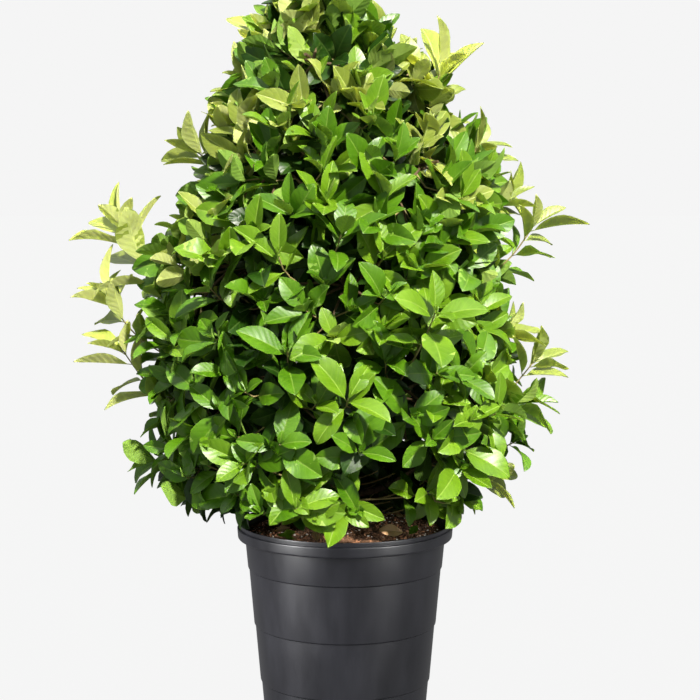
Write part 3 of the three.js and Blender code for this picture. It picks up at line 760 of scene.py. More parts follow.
def limb_piece(name, limbs, material, sides, step, relief, ridge_scale):
    """One piece from many limbs, each a list of points above the soil and a list of radii."""
    points = np.concatenate([np.array(path) for path, _ in limbs]) + SOIL_TOP * UP
    radii = np.concatenate([np.array(widths) for _, widths in limbs])
    edges, first = [], 0
    for path, _ in limbs:
        edges += [(first + k, first + k + 1) for k in range(len(path) - 1)]
        first += len(path)
    lines = bpy.data.meshes.new(name)
    lines.from_pydata(points, edges, [])
    lines.attributes.new("thickness", "FLOAT", "POINT").data.foreach_set("value", radii)
    values = {"Sides": sides, "Step": step, "Relief": relief, "Ridge scale": ridge_scale,
              "Material": material}
    return run_tree(name, lines, skin, values)


def curved_limb(points, foot, tip, steps):
    shares = np.linspace(0, 1, steps + 1)
    return [bezier(points, s) for s in shares], [lerp(foot, tip, s) for s in shares]


# %% Trunk and boughs in bark
TRUNK_STEPS = 90
TRUNK_SUNK = 0.004
TRUNK_GAP = 0.0003
BOUGH_STEPS = 12
BOUGH_TIP = 0.0036
BARK_DARK = (0.032, 0.021, 0.013, 1)
BARK_LIGHT = (0.130, 0.090, 0.056, 1)
bark = finish(
    "bark", mottle, {"Dark": BARK_DARK, "Light": BARK_LIGHT, "Scale": 90.0, "Stretch": 0.25},
    roughness=(0.65, 0.9), grain_values={"Scale": 320.0, "Stretch": 0.2},
    bump=0.6, depth=0.002, shine=0.3,
)
heights = np.concatenate([[-TRUNK_SUNK], np.linspace(TRUNK_GAP, TRUNK_HEIGHT, TRUNK_STEPS)])
trunk_line = [axis_at(max(h, 0)) + min(h, 0) * UP for h in heights]
trunk_limb = (trunk_line, [trunk_radius(max(h, 0)) for h in heights])
wood = limb_piece("trunk_bark", [trunk_limb], bark, sides=20, step=0.004, relief=0.5, ridge_scale=130.0)
settle(wood, "bark", "trunk")
bough_limbs = [curved_limb(points, foot, BOUGH_TIP, BOUGH_STEPS) for points, foot in boughs]
wood = limb_piece("bough_bark", bough_limbs, bark, sides=12, step=0.005, relief=0.5, ridge_scale=180.0)
settle(wood, "bark", *BOUGH_NODES)

# %% [markdown]
# ## Shoots
# On this shrub the leaves stand in opposite pairs, each pair a quarter turn from the last, and
# close up to a whorl at the tip of every shoot. Low shoots reach out level and their leaves hang;
# high ones climb, and show the pale backs of their leaves. Shoots are dealt over each mass like
# the seeds of a sunflower, some just under the outline and some deeper, and short ones stand round
# the trunk, so the inside is leafy and dark: the deeper shoots and those round the trunk carry a
# near-black green, which is painted shade. Every shoot starts on the nearest wood. Low in front,
# to the right, an opening is left, where the mix and the bare wood show.

# %% How shoots point, and where they start
CROWN_SEED = 11
CLIMBS = (0.25, 2.4)
CLIMB_LEVEL = 0.75
CLIMB_STRAY = 0.30
HEADING_STRAY = 0.35
FRONT_SIDE = -0.05
OPENING = (0.046, 0.112)
OPENING_TOP = 0.165
OPENING_SHARE = 0.88
STEM_PERCHES = (0.3, 0.5, 0.7, 0.85)
TWIG_PERCHES = (0.3, 0.5, 0.65, 0.8)
SHORTEST_SHOOT = 0.03
CROWDED_COST = 4
rng = np.random.default_rng(CROWN_SEED)


def shoot_heading(azimuth, level):
    """Where a shoot's tip points: level and outward at the skirt, steep towards the top."""
    climb = lerp(*CLIMBS, min(1, level / CLIMB_LEVEL)) + rng.normal(0, CLIMB_STRAY)
    turn = azimuth + rng.normal(0, HEADING_STRAY)
    return unit(np.array([math.cos(turn), math.sin(turn), climb]))


def in_opening(point):
    """Whether a point above the soil is one of the many that would fill the opening in front."""
    inside = OPENING[0] < point[0] < OPENING[1] and point[1] < FRONT_SIDE and point[2] < OPENING_TOP
    return inside and rng.random() < OPENING_SHARE


def nearest_perch(mass, target):
    """The nearest point on the mass's stem or twigs that leaves room for a shoot to the target."""
    def cost(perch):
        away = np.linalg.norm(target - perch)
        return away + max(0, SHORTEST_SHOOT - away) * CROWDED_COST

    lines = [(mass["stem"], STEM_PERCHES)] + [(twig, TWIG_PERCHES) for twig in mass["branches"]]
    return min((bezier(points, share) for points, shares in lines for share in shares), key=cost)


# %% Shoots over each mass
SHOOT_DENSITY = 310.0
CROWDING = ((0.10, 0.45, 0.80), (0.74, 1.00, 1.50))
SHOOT_FAN = 1.04
SHOOT_RISE = 1.12
SHOOT_BEND = 0.45
DEEP_EVERY = 3
SHALLOW = (0.030, 0.062)
DEEP = (0.075, 0.135)
INNERMOST = 0.012
LOWEST_SHOOT = 0.070
LOWEST_BACK_SHOOT = 0.040
LEAF_LIFT = 0.060
shoots = []
for mass in masses:
    area = 4 * mass["spread"] * crown_radius(mass["height"]) * mass["half"]
    count = round(SHOOT_DENSITY * np.interp(mass["height"], *CROWDING) * area)
    for i in range(count):
        out = SHOOT_FAN * math.sqrt((i + 0.5) / count)
        turn = i * GOLDEN_ANGLE + 3 * mass["azimuth"] + 1
        level = mass["height"] + SHOOT_RISE * mass["half"] * out * math.sin(turn)
        azimuth = mass["azimuth"] + mass["spread"] * out * math.cos(turn)
        lowest = LOWEST_BACK_SHOOT if math.sin(azimuth) > 0 else LOWEST_SHOOT
        level = min(max(level, lowest), TWIG_LEVELS[1])
        # Every third shoot sits deeper and gets near-black leaves: painted shade.
        deep_shade = i % DEEP_EVERY == DEEP_EVERY - 1
        depth = rng.uniform(*(DEEP if deep_shade else SHALLOW))
        heading = shoot_heading(azimuth, level)
        radius = max(INNERMOST, crown_radius(level + LEAF_LIFT * heading[2]) - depth)
        tip = crown_point(azimuth, level, radius)
        if in_opening(tip):
            continue
        start = nearest_perch(mass, tip)
        bend = tip - SHOOT_BEND * np.linalg.norm(tip - start) * heading
        shoots.append({"curve": (start, bend, tip), "level": level, "kind": "deep_shade" if deep_shade else "outer"})
print(len(shoots), "shoots on the masses")

# %% Short shoots round the trunk
CORE_SHOOTS = 190
CORE_LEVELS = (0.04, 0.82)
CORE_CROWDING = 1.3
CORE_REACH = (0.18, 0.70)
CORE_DROP = 0.03
CORE_SAG = 0.01
for i in range(CORE_SHOOTS):
    level = lerp(*CORE_LEVELS, ((i + 0.5) / CORE_SHOOTS) ** CORE_CROWDING)
    tip = crown_point(i * GOLDEN_ANGLE, level, crown_radius(level) * lerp(*CORE_REACH, scatter(i, 3, 7)))
    start = axis_at(level - CORE_DROP)
    bend = lerp(start, tip, 0.5) - CORE_SAG * UP
    # Shoots round the trunk get near-black leaves too: painted shade.
    shoots.append({"curve": (start, bend, tip), "level": level, "kind": "deep_shade"})
print(len(shoots), "shoots with those in the core")

# %% [markdown]
# ## Long shoots
# A clipped shrub soon throws a few vigorous shoots past its outline. They climb steeply and carry
# young, yellow-green leaves well apart, and they make the ragged edge that tells a living plant
# from topiary. Most of them take the palest tint, pale partly as young leaves are and partly as
# painted sun shining through them. Some short green shoots also hang low, where the skirt meets
# the rim, and the last of them stands out in front. A row gives a tip, how steeply it climbs, its
# tint and its leaves' size.

# %% Vigorous shoots past the outline, and low ones in front
LONG_STEM = 0.17
LOW_STEM = 0.12
LONG_SHOOTS = (
    (-0.362, 0.000, 0.495, 2.6, "tender_backlit", 1.10), (-0.392, 0.000, 0.392, 2.6, "tender_backlit", 0.95),
    (-0.368, -0.010, 0.300, 1.6, "tender_backlit", 1.00), (-0.318, -0.020, 0.118, 0.35, "grass", 0.85),
    (-0.240, 0.000, 0.625, 1.0, "young", 1.00),
    (-0.178, 0.000, 0.680, 2.2, "tender_backlit", 0.85), (-0.150, 0.010, 0.742, 1.1, "young", 1.00),
    (-0.121, 0.000, 0.812, 2.4, "tender_backlit", 1.00), (0.154, -0.010, 0.752, 6.0, "tender_backlit", 1.22),
    (0.217, 0.000, 0.632, 1.2, "young", 0.90), (0.262, 0.000, 0.545, 1.0, "young", 0.90),
    (0.310, 0.000, 0.505, 1.9, "young", 1.05), (0.262, -0.010, 0.330, 1.0, "young", 1.10),
    (0.312, -0.010, 0.280, 1.3, "young", 1.10), (0.285, -0.030, 0.214, 0.4, "bright", 1.15),
    (0.235, -0.060, 0.100, 0.4, "young", 0.90), (0.130, 0.240, 0.540, 1.5, "tender_backlit", 1.00),
    (-0.084, 0.350, 0.330, 1.0, "young", 1.05), (-0.200, 0.220, 0.540, 1.4, "tender_backlit", 1.00),
    (0.052, 0.352, 0.190, 0.5, "bright", 1.05),
)
LOW_SHOOTS = (
    (-0.076, -0.245, 0.098, 0.2, "bright", 0.88), (-0.153, -0.248, 0.150, 0.3, "bright", 0.92),
    (-0.006, -0.214, 0.078, 0.0, "bright", 0.90), (0.132, -0.180, 0.092, 0.3, "bright", 0.80),
    (0.180, -0.105, 0.078, 0.2, "bright", 0.90), (-0.168, -0.198, 0.092, 0.1, "grass", 0.90),
    (0.055, 0.185, 0.058, 0.2, "grass", 1.00), (0.120, 0.150, 0.060, 0.2, "grass", 1.00),
    (-0.045, 0.195, 0.058, 0.2, "grass", 1.00), (-0.130, 0.155, 0.056, 0.2, "grass", 1.00),
    (0.135, -0.298, 0.385, 1.4, "bright", 1.00),
)
STEM_SHARES = (0.2, 0.4, 0.6, 0.8)
TWIG_SHARES = (0.3, 0.6)
perches = [bezier(mass["stem"], share) for mass in masses for share in STEM_SHARES]
perches += [bezier(twig, share) for mass in masses for twig in mass["branches"] for share in TWIG_SHARES]
for kind, stem_length, wanted in (("long", LONG_STEM, LONG_SHOOTS), ("low", LOW_STEM, LOW_SHOOTS)):
    for x, y, level, climb, tint, size in wanted:
        tip = np.array([x, y, level])
        azimuth = math.atan2(y, x)
        heading = unit(np.array([math.cos(azimuth), math.sin(azimuth), climb]))
        behind = tip - stem_length * heading
        start = min(perches, key=lambda p: np.linalg.norm(p - behind))
        bend = tip - 0.5 * np.linalg.norm(tip - start) * heading
        shoots.append({"curve": (start, bend, tip), "level": level, "kind": kind, "tint": tint,
                       "size": size})
print(len(LONG_SHOOTS), "long shoots,", len(LOW_SHOOTS), "low ones")

# %% Twigs and shoots as tubes
STEM_TUBE = {"foot": 0.0034, "tip": 0.0028, "steps": 10}
TWIG_TUBE = {"foot": 0.0028, "tip": 0.0018, "steps": 8}
SHOOT_TUBE = {"foot": 0.0016, "tip": 0.0011, "steps": 6}
twig_wood = finish(
    "twig_wood", mottle,
    {"Dark": (0.060, 0.040, 0.020, 1), "Light": (0.19, 0.13, 0.068, 1), "Scale": 120.0},
    roughness=(0.55, 0.8), grain_values={"Scale": 500.0, "Stretch": 0.3},
    bump=0.4, depth=0.001, shine=0.35,
)
shoot_green = finish(
    "shoot_skin", mottle,
    {"Dark": (0.20, 0.16, 0.055, 1), "Light": (0.42, 0.34, 0.15, 1), "Scale": 90.0},
    roughness=(0.45, 0.65), grain_values={"Scale": 600.0, "Stretch": 0.3},
    bump=0.3, depth=0.001, shine=0.4,
)
twig_limbs = []
for mass in masses:
    twig_limbs.append(curved_limb(mass["stem"], **STEM_TUBE))
    twig_limbs += [curved_limb(twig, **TWIG_TUBE) for twig in mass["branches"]]
wood = limb_piece("twigs", twig_limbs, twig_wood, sides=7, step=0.012, relief=0.4, ridge_scale=200.0)
settle(wood, "bark")
shoot_limbs = [curved_limb(shoot["curve"], **SHOOT_TUBE) for shoot in shoots]
wood = limb_piece("shoots", shoot_limbs, shoot_green, sides=5, step=0.020, relief=0.2, ridge_scale=200.0)
settle(wood, "foliage")

# %% [markdown]
# ## One leaf, bent thousands of ways
# A viburnum leaf is a leathery oval of seven or eight centimetres, folded along its midrib and
# bent back at the tip. It is a closed, thin lens of some eighty faces: an upper skin, a lower skin
# that meets it at the edge, and a thin strip for the midrib that runs on into the stalk. All the
# leaves are worked out at once as arrays, each with its own fold, bend, twist and wave. That is
# faster than thousands of objects, and joined meshes are what the export keeps.

# %% The leaf's grid
STATIONS = np.array([0.0, 0.09, 0.13, 0.20, 0.29, 0.40, 0.52, 0.64, 0.75, 0.85, 0.94, 1.0])
LAST_STATION = len(STATIONS) - 1
UPPER_COLUMNS = ("left", "left_mid", "rib_left", "rib_right", "right_mid", "right")
COLUMNS = (*UPPER_COLUMNS, "under")
BLADE_SHARES = {"left": -1, "left_mid": -0.5, "right_mid": 0.5, "right": 1}
RIB_SHARES = {"rib_left": -1, "under": 0, "rib_right": 1}
LEAF_POINTS = len(STATIONS) * len(COLUMNS)
UPPER, UNDER, RIB = 0, 1, 2


def leaf_index(station, column):
    return station * len(COLUMNS) + COLUMNS.index(column)


def strip(station, first, second):
    """The four corners of one face between two columns, from a station to the next."""
    return [leaf_index(station, first), leaf_index(station, second),
            leaf_index(station + 1, second), leaf_index(station + 1, first)]


leaf_quads, quad_slots = [], []
for k in range(LAST_STATION):
    for a, b in zip(UPPER_COLUMNS, UPPER_COLUMNS[1:]):
        leaf_quads.append(strip(k, b, a))
        quad_slots.append(RIB if k == 0 or a == "rib_left" else UPPER)
    for a, b in (("left", "under"), ("under", "right")):
        leaf_quads.append(strip(k, a, b))
        quad_slots.append(RIB if k == 0 else UNDER)
leaf_ends = [[leaf_index(0, column) for column in COLUMNS],
             [leaf_index(LAST_STATION, column) for column in COLUMNS[::-1]]]
end_slots = [RIB, UPPER]
print("one leaf:", LEAF_POINTS, "points,", len(leaf_quads) + len(leaf_ends), "faces")

# %% Bend every leaf of a list at once
STALK_HALF_WIDTH = 0.0011
RIB_HALF_WIDTH = 0.0004
RIB_GROOVE = 0.0002
RIB_DEPTH = 0.0008
WIDEST_SHIFT = 1.06
OUTLINE_FULLNESS = 0.78
BEND_LATE = 1.6
WAVES_ALONG = 1.6
CUPPING = 0.30
TOOTH_DEPTH = 0.025
TOOTH_START = 0.3


def half_width(share):
    """The blade's half width as a share of its widest: nothing at the stalk and at the tip."""
    run = np.clip((share - STATIONS[1]) / (1 - STATIONS[1]), 0, 1)
    return np.sin(np.pi * run**WIDEST_SHIFT) ** OUTLINE_FULLNESS


def leaf_points(leaves):
    """Points of many leaves: an array of leaves x points x 3."""
    pick = {key: np.array([leaf[key] for leaf in leaves]) for key in leaves[0]}
    length, width, fold, phase = (pick[key][:, None] for key in ("length", "width", "fold", "phase"))
    slope = pick["bend"][:, None] * STATIONS**BEND_LATE
    steps = np.diff(STATIONS, prepend=0)
    run = np.cumsum(np.cos(slope) * steps, axis=1) * length
    sink = -np.cumsum(np.sin(slope) * steps, axis=1) * length
    blade_half = np.maximum(half_width(STATIONS) * width / 2, STALK_HALF_WIDTH)
    blade_half[:, -1] = STALK_HALF_WIDTH
    roll = pick["twist"][:, None] * STATIONS
    wave = pick["wave"][:, None] * np.sin(2 * np.pi * (WAVES_ALONG * STATIONS + phase))
    in_and_out = np.where(np.arange(len(STATIONS)) % 2, 1, -1)
    teeth = 1 + TOOTH_DEPTH * in_and_out * (STATIONS > TOOTH_START)
    out = np.empty((len(leaves), len(STATIONS), len(COLUMNS), 3))
    for c, column in enumerate(COLUMNS):
        if column in RIB_SHARES:
            across = np.full_like(blade_half, RIB_SHARES[column] * RIB_HALF_WIDTH)
            lift = np.full_like(blade_half, -RIB_DEPTH if column == "under" else -RIB_GROOVE)
        else:
            share = BLADE_SHARES[column]
            open_up = np.sin(fold) * abs(share) - CUPPING * fold * share**2
            across = share * blade_half * np.cos(fold) * (teeth if abs(share) == 1 else 1)
            lift = blade_half * (open_up + wave * abs(share))
        rolled = across * np.sin(roll) + lift * np.cos(roll)
        out[:, :, c, 0] = run + rolled * np.sin(slope)
        out[:, :, c, 1] = across * np.cos(roll) - lift * np.sin(roll)
        out[:, :, c, 2] = sink + rolled * np.cos(slope)
    local = out.reshape(len(leaves), LEAF_POINTS, 3)
    frame_of = np.stack([pick["along"], np.cross(pick["face"], pick["along"]), pick["face"]], axis=1)
    return np.einsum("lpi,lij->lpj", local, frame_of) + pick["root"][:, None, :]


# %% [markdown]
# ## Leaves for every shoot
# Each leaf leaves its shoot at an angle that opens with age: the young pair at the tip stands
# nearly upright, older pairs spread. A leaf also turns its face to the light, more so low down on
# the plant. Tints are dealt out by shoot, because a whole shoot opens and hardens together, and
# an older pair is a tint darker; the darkest tint, which older pairs of the grass tint also reach,
# is painted shade. Leaves that would spoil the outline or the opening are left off.

# %% Pairs of leaves along the shoots
PAIRS = (
    {"back": 0.000, "splay": 12, "size": 0.28},
    {"back": 0.003, "splay": 30, "size": 0.82},
    {"back": 0.012, "splay": 46, "size": 1.04},
    {"back": 0.036, "splay": 62, "size": 1.00},
    {"back": 0.064, "splay": 74, "size": 0.88},
)
LONG_PAIRS = (
    {"back": 0.000, "splay": 12, "size": 0.30},
    {"back": 0.004, "splay": 30, "size": 0.90},
    {"back": 0.011, "splay": 50, "size": 1.10},
    {"back": 0.030, "splay": 58, "size": 1.12},
    {"back": 0.064, "splay": 62, "size": 1.12},
    {"back": 0.100, "splay": 68, "size": 1.05},
    {"back": 0.132, "splay": 74, "size": 1.00},
)
OLD_PAIR = 0.050
OLDER_PAIR = 0.110
OLD_SHARE = 0.5
print(len(PAIRS), "pairs on a shoot,", len(LONG_PAIRS), "on a long one")

# %% Tints by shoot
TINTS = ("tender_backlit", "young", "bright", "grass", "deep_shade")
YOUNG_SHARE = (0.0, 0.36)
YOUNG_AT_SIDE = (0.55, 1.45)
BRIGHT_SHARE = (0.26, 0.75)
TINT_LEVELS = (0.25, 0.55)


def climbed(level, start, span):
    """How far a level is along a span of height, from 0 to 1."""
    return min(1, max(0, (level - start) / span))


def tint_of(shoot):
    """A shoot's tint: young where it is high or at a side, near-black inside as painted shade."""
    if shoot["kind"] == "deep_shade" or "tint" in shoot:
        return shoot.get("tint", "deep_shade")
    high = climbed(shoot["level"], *TINT_LEVELS)
    tip = shoot["curve"][2]
    side = abs(tip[0]) / math.hypot(tip[0], tip[1])
    chance = rng.random()
    if chance < lerp(*YOUNG_SHARE, high) * lerp(*YOUNG_AT_SIDE, side):
        return "young"
    return "bright" if chance < lerp(*BRIGHT_SHARE, high) else "grass"


# %% Leaves of one shoot
LEAF_LENGTH = 0.079
LEAF_WIDTH = 0.0415
SIZE_SPREAD = (0.97, 0.14)
SIZE_LIMITS = (0.68, 1.15)
PULL_SPREAD = (0.3, 1.7)
STRAY = {"quarter": 0.2, "turn": 0.15, "splay": 9, "width": 0.08, "fold": 10, "twist": 0.20, "wave": 0.10}
SMALL_PAIR = 0.5
FIRST_SHARE = 0.12
HABIT_LEVELS = (0.15, 0.50)
LIGHT_PULL = (0.55, 0.02)
LIGHT_LEVEL = 0.60
LIGHT_OUT = 0.7
DROOP = 0.10


def turned_about(vector, axis, angle):
    return (vector * math.cos(angle) + np.cross(axis, vector) * math.sin(angle)
            + axis * np.dot(axis, vector) * (1 - math.cos(angle)))


def habit_of(shoot):
    """How a shoot's leaves stand. High up they close in; on long shoots they are slim and even."""
    if shoot["kind"] == "long":
        return {"pairs": LONG_PAIRS, "splay": 0.74, "pull": 0.2, "width": 0.90, "fold": 30, "bend": (22, 8)}
    high = climbed(shoot["level"], *HABIT_LEVELS)
    return {"pairs": PAIRS[1:4] if shoot["kind"] == "deep_shade" else PAIRS, "splay": lerp(1.0, 0.64, high),
            "pull": 1.0, "width": lerp(1.05, 0.94, high), "fold": 26, "bend": (lerp(30, 20, high), 16)}


def leaf_facing(root, axis, direction, splay, pull):
    """A leaf's own directions: along it, and out of its upper face, turned towards the light."""
    along = unit(axis * math.cos(splay) + direction * math.sin(splay))
    face = unit(axis - along * np.dot(axis, along))
    light = unit(UP + LIGHT_OUT * unit(np.array([root[0], root[1], 0.0])))
    face = unit(face + pull * light)
    along = unit(along - face * np.dot(along, face) - DROOP * UP)
    return along, unit(face - along * np.dot(face, along))


def leaves_of(shoot):
    """All the leaves of a shoot: pairs from its tip back, each a quarter turn from the last."""
    leaves = []
    curve, is_long, habit = shoot["curve"], shoot["kind"] == "long", habit_of(shoot)
    length = np.linalg.norm(curve[2] - curve[1]) + np.linalg.norm(curve[1] - curve[0])
    quarter = rng.normal(math.pi / 4, STRAY["quarter"]) if is_long else rng.uniform(0, math.pi)
    tint = TINTS.index(tint_of(shoot))
    low_pull = lerp(*LIGHT_PULL, min(1, shoot["level"] / LIGHT_LEVEL))
    for level, pair in enumerate(habit["pairs"]):
        share = 1 - pair["back"] / max(length, 1e-3)
        if share < FIRST_SHARE:
            continue
        root, axis = bezier(curve, share), bezier_tangent(curve, share)
        side = unit(np.cross(axis, UP) + 1e-6)
        side = turned_about(side, axis, quarter + level * math.pi / 2 + rng.normal(0, STRAY["turn"]))
        for direction in (side, -side):
            splay = math.radians(pair["splay"] * habit["splay"] + rng.normal(0, STRAY["splay"]))
            pull = low_pull * (pair["size"] > SMALL_PAIR) * rng.uniform(*PULL_SPREAD)
            along, face = leaf_facing(root, axis, direction, splay, habit["pull"] * pull)
            scale = min(SIZE_LIMITS[1], max(SIZE_LIMITS[0], rng.normal(*SIZE_SPREAD)))
            scale = pair["size"] * shoot.get("size", 1.0) * scale
            # An older pair takes the next darker tint; past grass that is the near-black painted shade.
            older = pair["back"] > OLD_PAIR and (is_long or rng.random() < OLD_SHARE)
            older += is_long and pair["back"] > OLDER_PAIR
            leaves.append({
                "root": root + SOIL_TOP * UP, "along": along, "face": face,
                "tint": min(len(TINTS) - 1, tint + older), "length": LEAF_LENGTH * scale,
                "width": LEAF_WIDTH * scale * rng.normal(1.0, STRAY["width"]) * habit["width"],
                "fold": math.radians(abs(rng.normal(habit["fold"], STRAY["fold"]))),
                "bend": math.radians(rng.normal(*habit["bend"])),
                "twist": rng.normal(0, STRAY["twist"]),
                "wave": rng.normal(0, STRAY["wave"]), "phase": rng.random(),
            })
    return leaves


# %% Leaves that may stay
REACH_SLACK = 0.065
TIP_SLACK = 0.070
TIP_LEVELS = (0.80, 0.20)
LEFT_TRIM = 0.030
TRIM_LEVELS = (0.10, 0.28)
STRAY_SHARE = 0.10
STRAY_HANG = 0.014
RIM_HANG = -0.004
BACK_HANG = 0.006
INNER_HANG = 0.030
FRONT_HANG = 0.052
LEFT_BACK = (-0.20, -0.14)
OVER_RIM = 0.19
GAP = (0.034, 0.104)
GAP_TOP = 0.150
GAP_FILL = 0.30
MIDDLE_STATION = 6


def hang_limit(x, y):
    """How low leaves hang: over the soil at the back and left, higher where the front is drawn up."""
    if rng.random() < STRAY_SHARE:
        return STRAY_HANG
    if y > FRONT_SIDE or x < LEFT_BACK[0] and y > LEFT_BACK[1]:
        return BACK_HANG
    return FRONT_HANG if math.hypot(x, y) > OVER_RIM else INNER_HANG


def overshoot(point):
    """How far a point above the soil stands out past the crown's outline."""
    flat = (point - crown_centre(point[2]))[:2]
    return math.hypot(*flat) - crown_radius(point[2])


def reach_slack(tip):
    """How far a leaf's tip may stand out: a little by chance, more at the top, less low on the left."""
    slack = REACH_SLACK * rng.random() ** 2 + TIP_SLACK * max(0, tip[2] - TIP_LEVELS[0]) / TIP_LEVELS[1]
    trimmed = tip[0] < 0 and TRIM_LEVELS[0] < tip[2] < TRIM_LEVELS[1]
    return slack - LEFT_TRIM if trimmed else slack


def gap_fill(points):
    """The share of each leaf that hangs in the middle of the opening."""
    x, y, z = np.moveaxis(points, 2, 0)
    return ((x > GAP[0]) & (x < GAP[1]) & (y < FRONT_SIDE) & (z < GAP_TOP)).mean(axis=1)


def kept(shoot, leaves):
    """Leaves that hang no lower than the crown's foot, nor stand far out, nor fill the opening."""
    points = leaf_points(leaves) - SOIL_TOP * UP
    keep = []
    for leaf, own, fill in zip(leaves, points, gap_fill(points)):
        low, tip = own[:, 2].min(), own[leaf_index(LAST_STATION, "under")]
        slack, hang = reach_slack(tip), hang_limit(*leaf["root"][:2])
        fits = overshoot(tip) < slack and low > hang
        fits = fits and not in_opening(own[leaf_index(MIDDLE_STATION, "under")]) and fill < GAP_FILL
        if {"long": True, "low": low > RIM_HANG}.get(shoot["kind"], fits):
            keep.append(leaf)
    return keep


# %% All the leaves, sorted by tint
LOW_SEED = 300
leaves_by_tint = {tint: [] for tint in (*TINTS, "dry")}
for index, shoot in enumerate(shoots):
    if shoot["kind"] == "low":
        rng = np.random.default_rng(LOW_SEED + index)
    for leaf in kept(shoot, leaves_of(shoot)):
        leaves_by_tint[TINTS[leaf["tint"]]].append(leaf)
print({tint: len(leaves) for tint, leaves in leaves_by_tint.items()})

# %% [markdown]
# ## Fallen leaves
# A few leaves always lie on the mix: some dry and tan, some small and still green. They are the
# same leaf, laid on the bed and curled the other way, so they join the same pieces. A row gives
# the stalk's place, the way the leaf points and its size, how far it tips up, and its tint.

# %% Leaves on the mix
FALLEN = (
    (0.098, -0.108, 170, 0.55, 62, "dry"), (-0.044, -0.130, 100, 0.36, 20, "dry"),
    (-0.052, -0.140, 320, 0.24, 25, "dry"), (-0.120, -0.052, 20, 0.40, 10, "dry"),
    (0.105, 0.068, 150, 0.45, 10, "dry"), (-0.060, 0.115, 250, 0.40, 10, "dry"),
    (-0.108, -0.096, 15, 0.36, 25, "bright"), (-0.078, -0.128, 160, 0.40, 30, "bright"),
    (0.104, -0.094, 60, 0.34, 25, "grass"), (0.040, 0.128, 300, 0.36, 10, "bright"),
)
FALLEN_LIFT = 0.006
CURL = {"fold": 0.30, "bend": -0.25, "twist": 0.3, "wave": 0.20, "phase": 0.3, "tint": 0}
for x, y, degrees, scale, lean, tint in FALLEN:
    along, tip = level_heading(math.radians(degrees)), math.radians(lean)
    face = np.array([0.0, -math.sin(tip), math.cos(tip)])
    along = unit(along - face * np.dot(along, face))
    width = LEAF_WIDTH * scale
    root = np.array([x, y, soil_height(x, y) + FALLEN_LIFT + 0.5 * width * math.sin(tip)])
    leaves_by_tint[tint].append({"root": root, "along": along, "face": face,
                                 "length": LEAF_LENGTH * scale, "width": width, **CURL})
print(len(FALLEN), "fallen leaves")

# %% [markdown]
# ## Leaf colours
# The upper face is glossy and strongly green; the back is matt and paler, greyer or yellower;
# the midrib and stalk are pale. Young leaves are yellow-green on both faces. The leaves inside
# the crown are a near-black green, which is painted shade.

# %% Leaf finishes
VEIN_SHOW = {"upper": 0.14, "under": 0.32}
LEAF_FACES = {
    "upper": {"roughness": (0.33, 0.47), "bump": 0.17, "shine": 0.54},
    "under": {"roughness": (0.55, 0.70), "bump": 0.32, "shine": 0.3},
}
QUILT_DEPTH = 0.002
RIB_SHADE = 0.8
TINT_COLOURS = {
    # Palest leaves, of the long shoots: partly the young leaves' own colour, partly painted sun shining
    # through them.
    "tender_backlit": {"upper": ((0.32, 0.40, 0.056), (0.47, 0.54, 0.110)),
               "under": ((0.58, 0.64, 0.20), (0.77, 0.80, 0.34)),
               "rib": (0.66, 0.68, 0.26), "glow": 0.90},
    "young": {"upper": ((0.185, 0.255, 0.028), (0.310, 0.368, 0.070)),
              "under": ((0.37, 0.44, 0.130), (0.54, 0.59, 0.215)),
              "rib": (0.48, 0.55, 0.18), "glow": 0.65},
    "bright": {"upper": ((0.087, 0.200, 0.003), (0.165, 0.315, 0.011)),
               "under": ((0.235, 0.37, 0.058), (0.370, 0.50, 0.120)),
               "rib": (0.26, 0.40, 0.06), "glow": 0.50},
    "grass": {"upper": ((0.051, 0.148, 0.002), (0.096, 0.235, 0.004)),
              "under": ((0.155, 0.29, 0.040), (0.245, 0.41, 0.070)),
              "rib": (0.18, 0.31, 0.04), "glow": 0.40},
    # Near-black leaves for the inside of the crown: painted shade.
    "deep_shade": {"upper": ((0.008, 0.034, 0.001), (0.019, 0.066, 0.002)),
             "under": ((0.034, 0.074, 0.008), (0.058, 0.112, 0.014)),
             "rib": (0.06, 0.12, 0.018), "glow": 0.12},
    "dry": {"upper": ((0.58, 0.34, 0.170), (0.84, 0.54, 0.310)),
            "under": ((0.54, 0.33, 0.18), (0.78, 0.52, 0.30)),
            "rib": (0.50, 0.30, 0.15), "glow": 0.10},
}


def leaf_finishes(tint):
    """A leaf's three finishes: upper face, back, and the midrib with its stalk."""
    colours = TINT_COLOURS[tint]
    rib = (*colours["rib"], 1)
    rib_dark = (*(RIB_SHADE * value for value in colours["rib"]), 1)
    finishes = []
    for face, look in LEAF_FACES.items():
        dark, light = ((*colour, 1) for colour in colours[face])
        values = {"Dark": dark, "Light": light, "Vein": rib, "Vein_show": VEIN_SHOW[face]}
        finishes.append(finish(f"leaf_{tint}_{face}", blade, values, grain_values=None,
                               depth=QUILT_DEPTH, glow=colours["glow"], **look))
    finishes.append(finish(
        f"leaf_{tint}_rib", mottle, {"Dark": rib_dark, "Light": rib, "Scale": 60.0},
        roughness=(0.40, 0.55), grain_values={"Scale": 700.0}, bump=0.2, depth=0.0005, shine=0.4,
    ))
    return finishes


# %% Leaf pieces
LEAVES_PER_PIECE = 1200
CRISP_COLUMNS = [COLUMNS.index(column) for column in ("left", "right", *RIB_SHARES)]
column_of_point = np.tile(np.arange(len(COLUMNS)), len(STATIONS))
map_of_leaf = np.array([
    (station, (BLADE_SHARES.get(column, 0) + 1) / 2) for station in STATIONS for column in COLUMNS
])


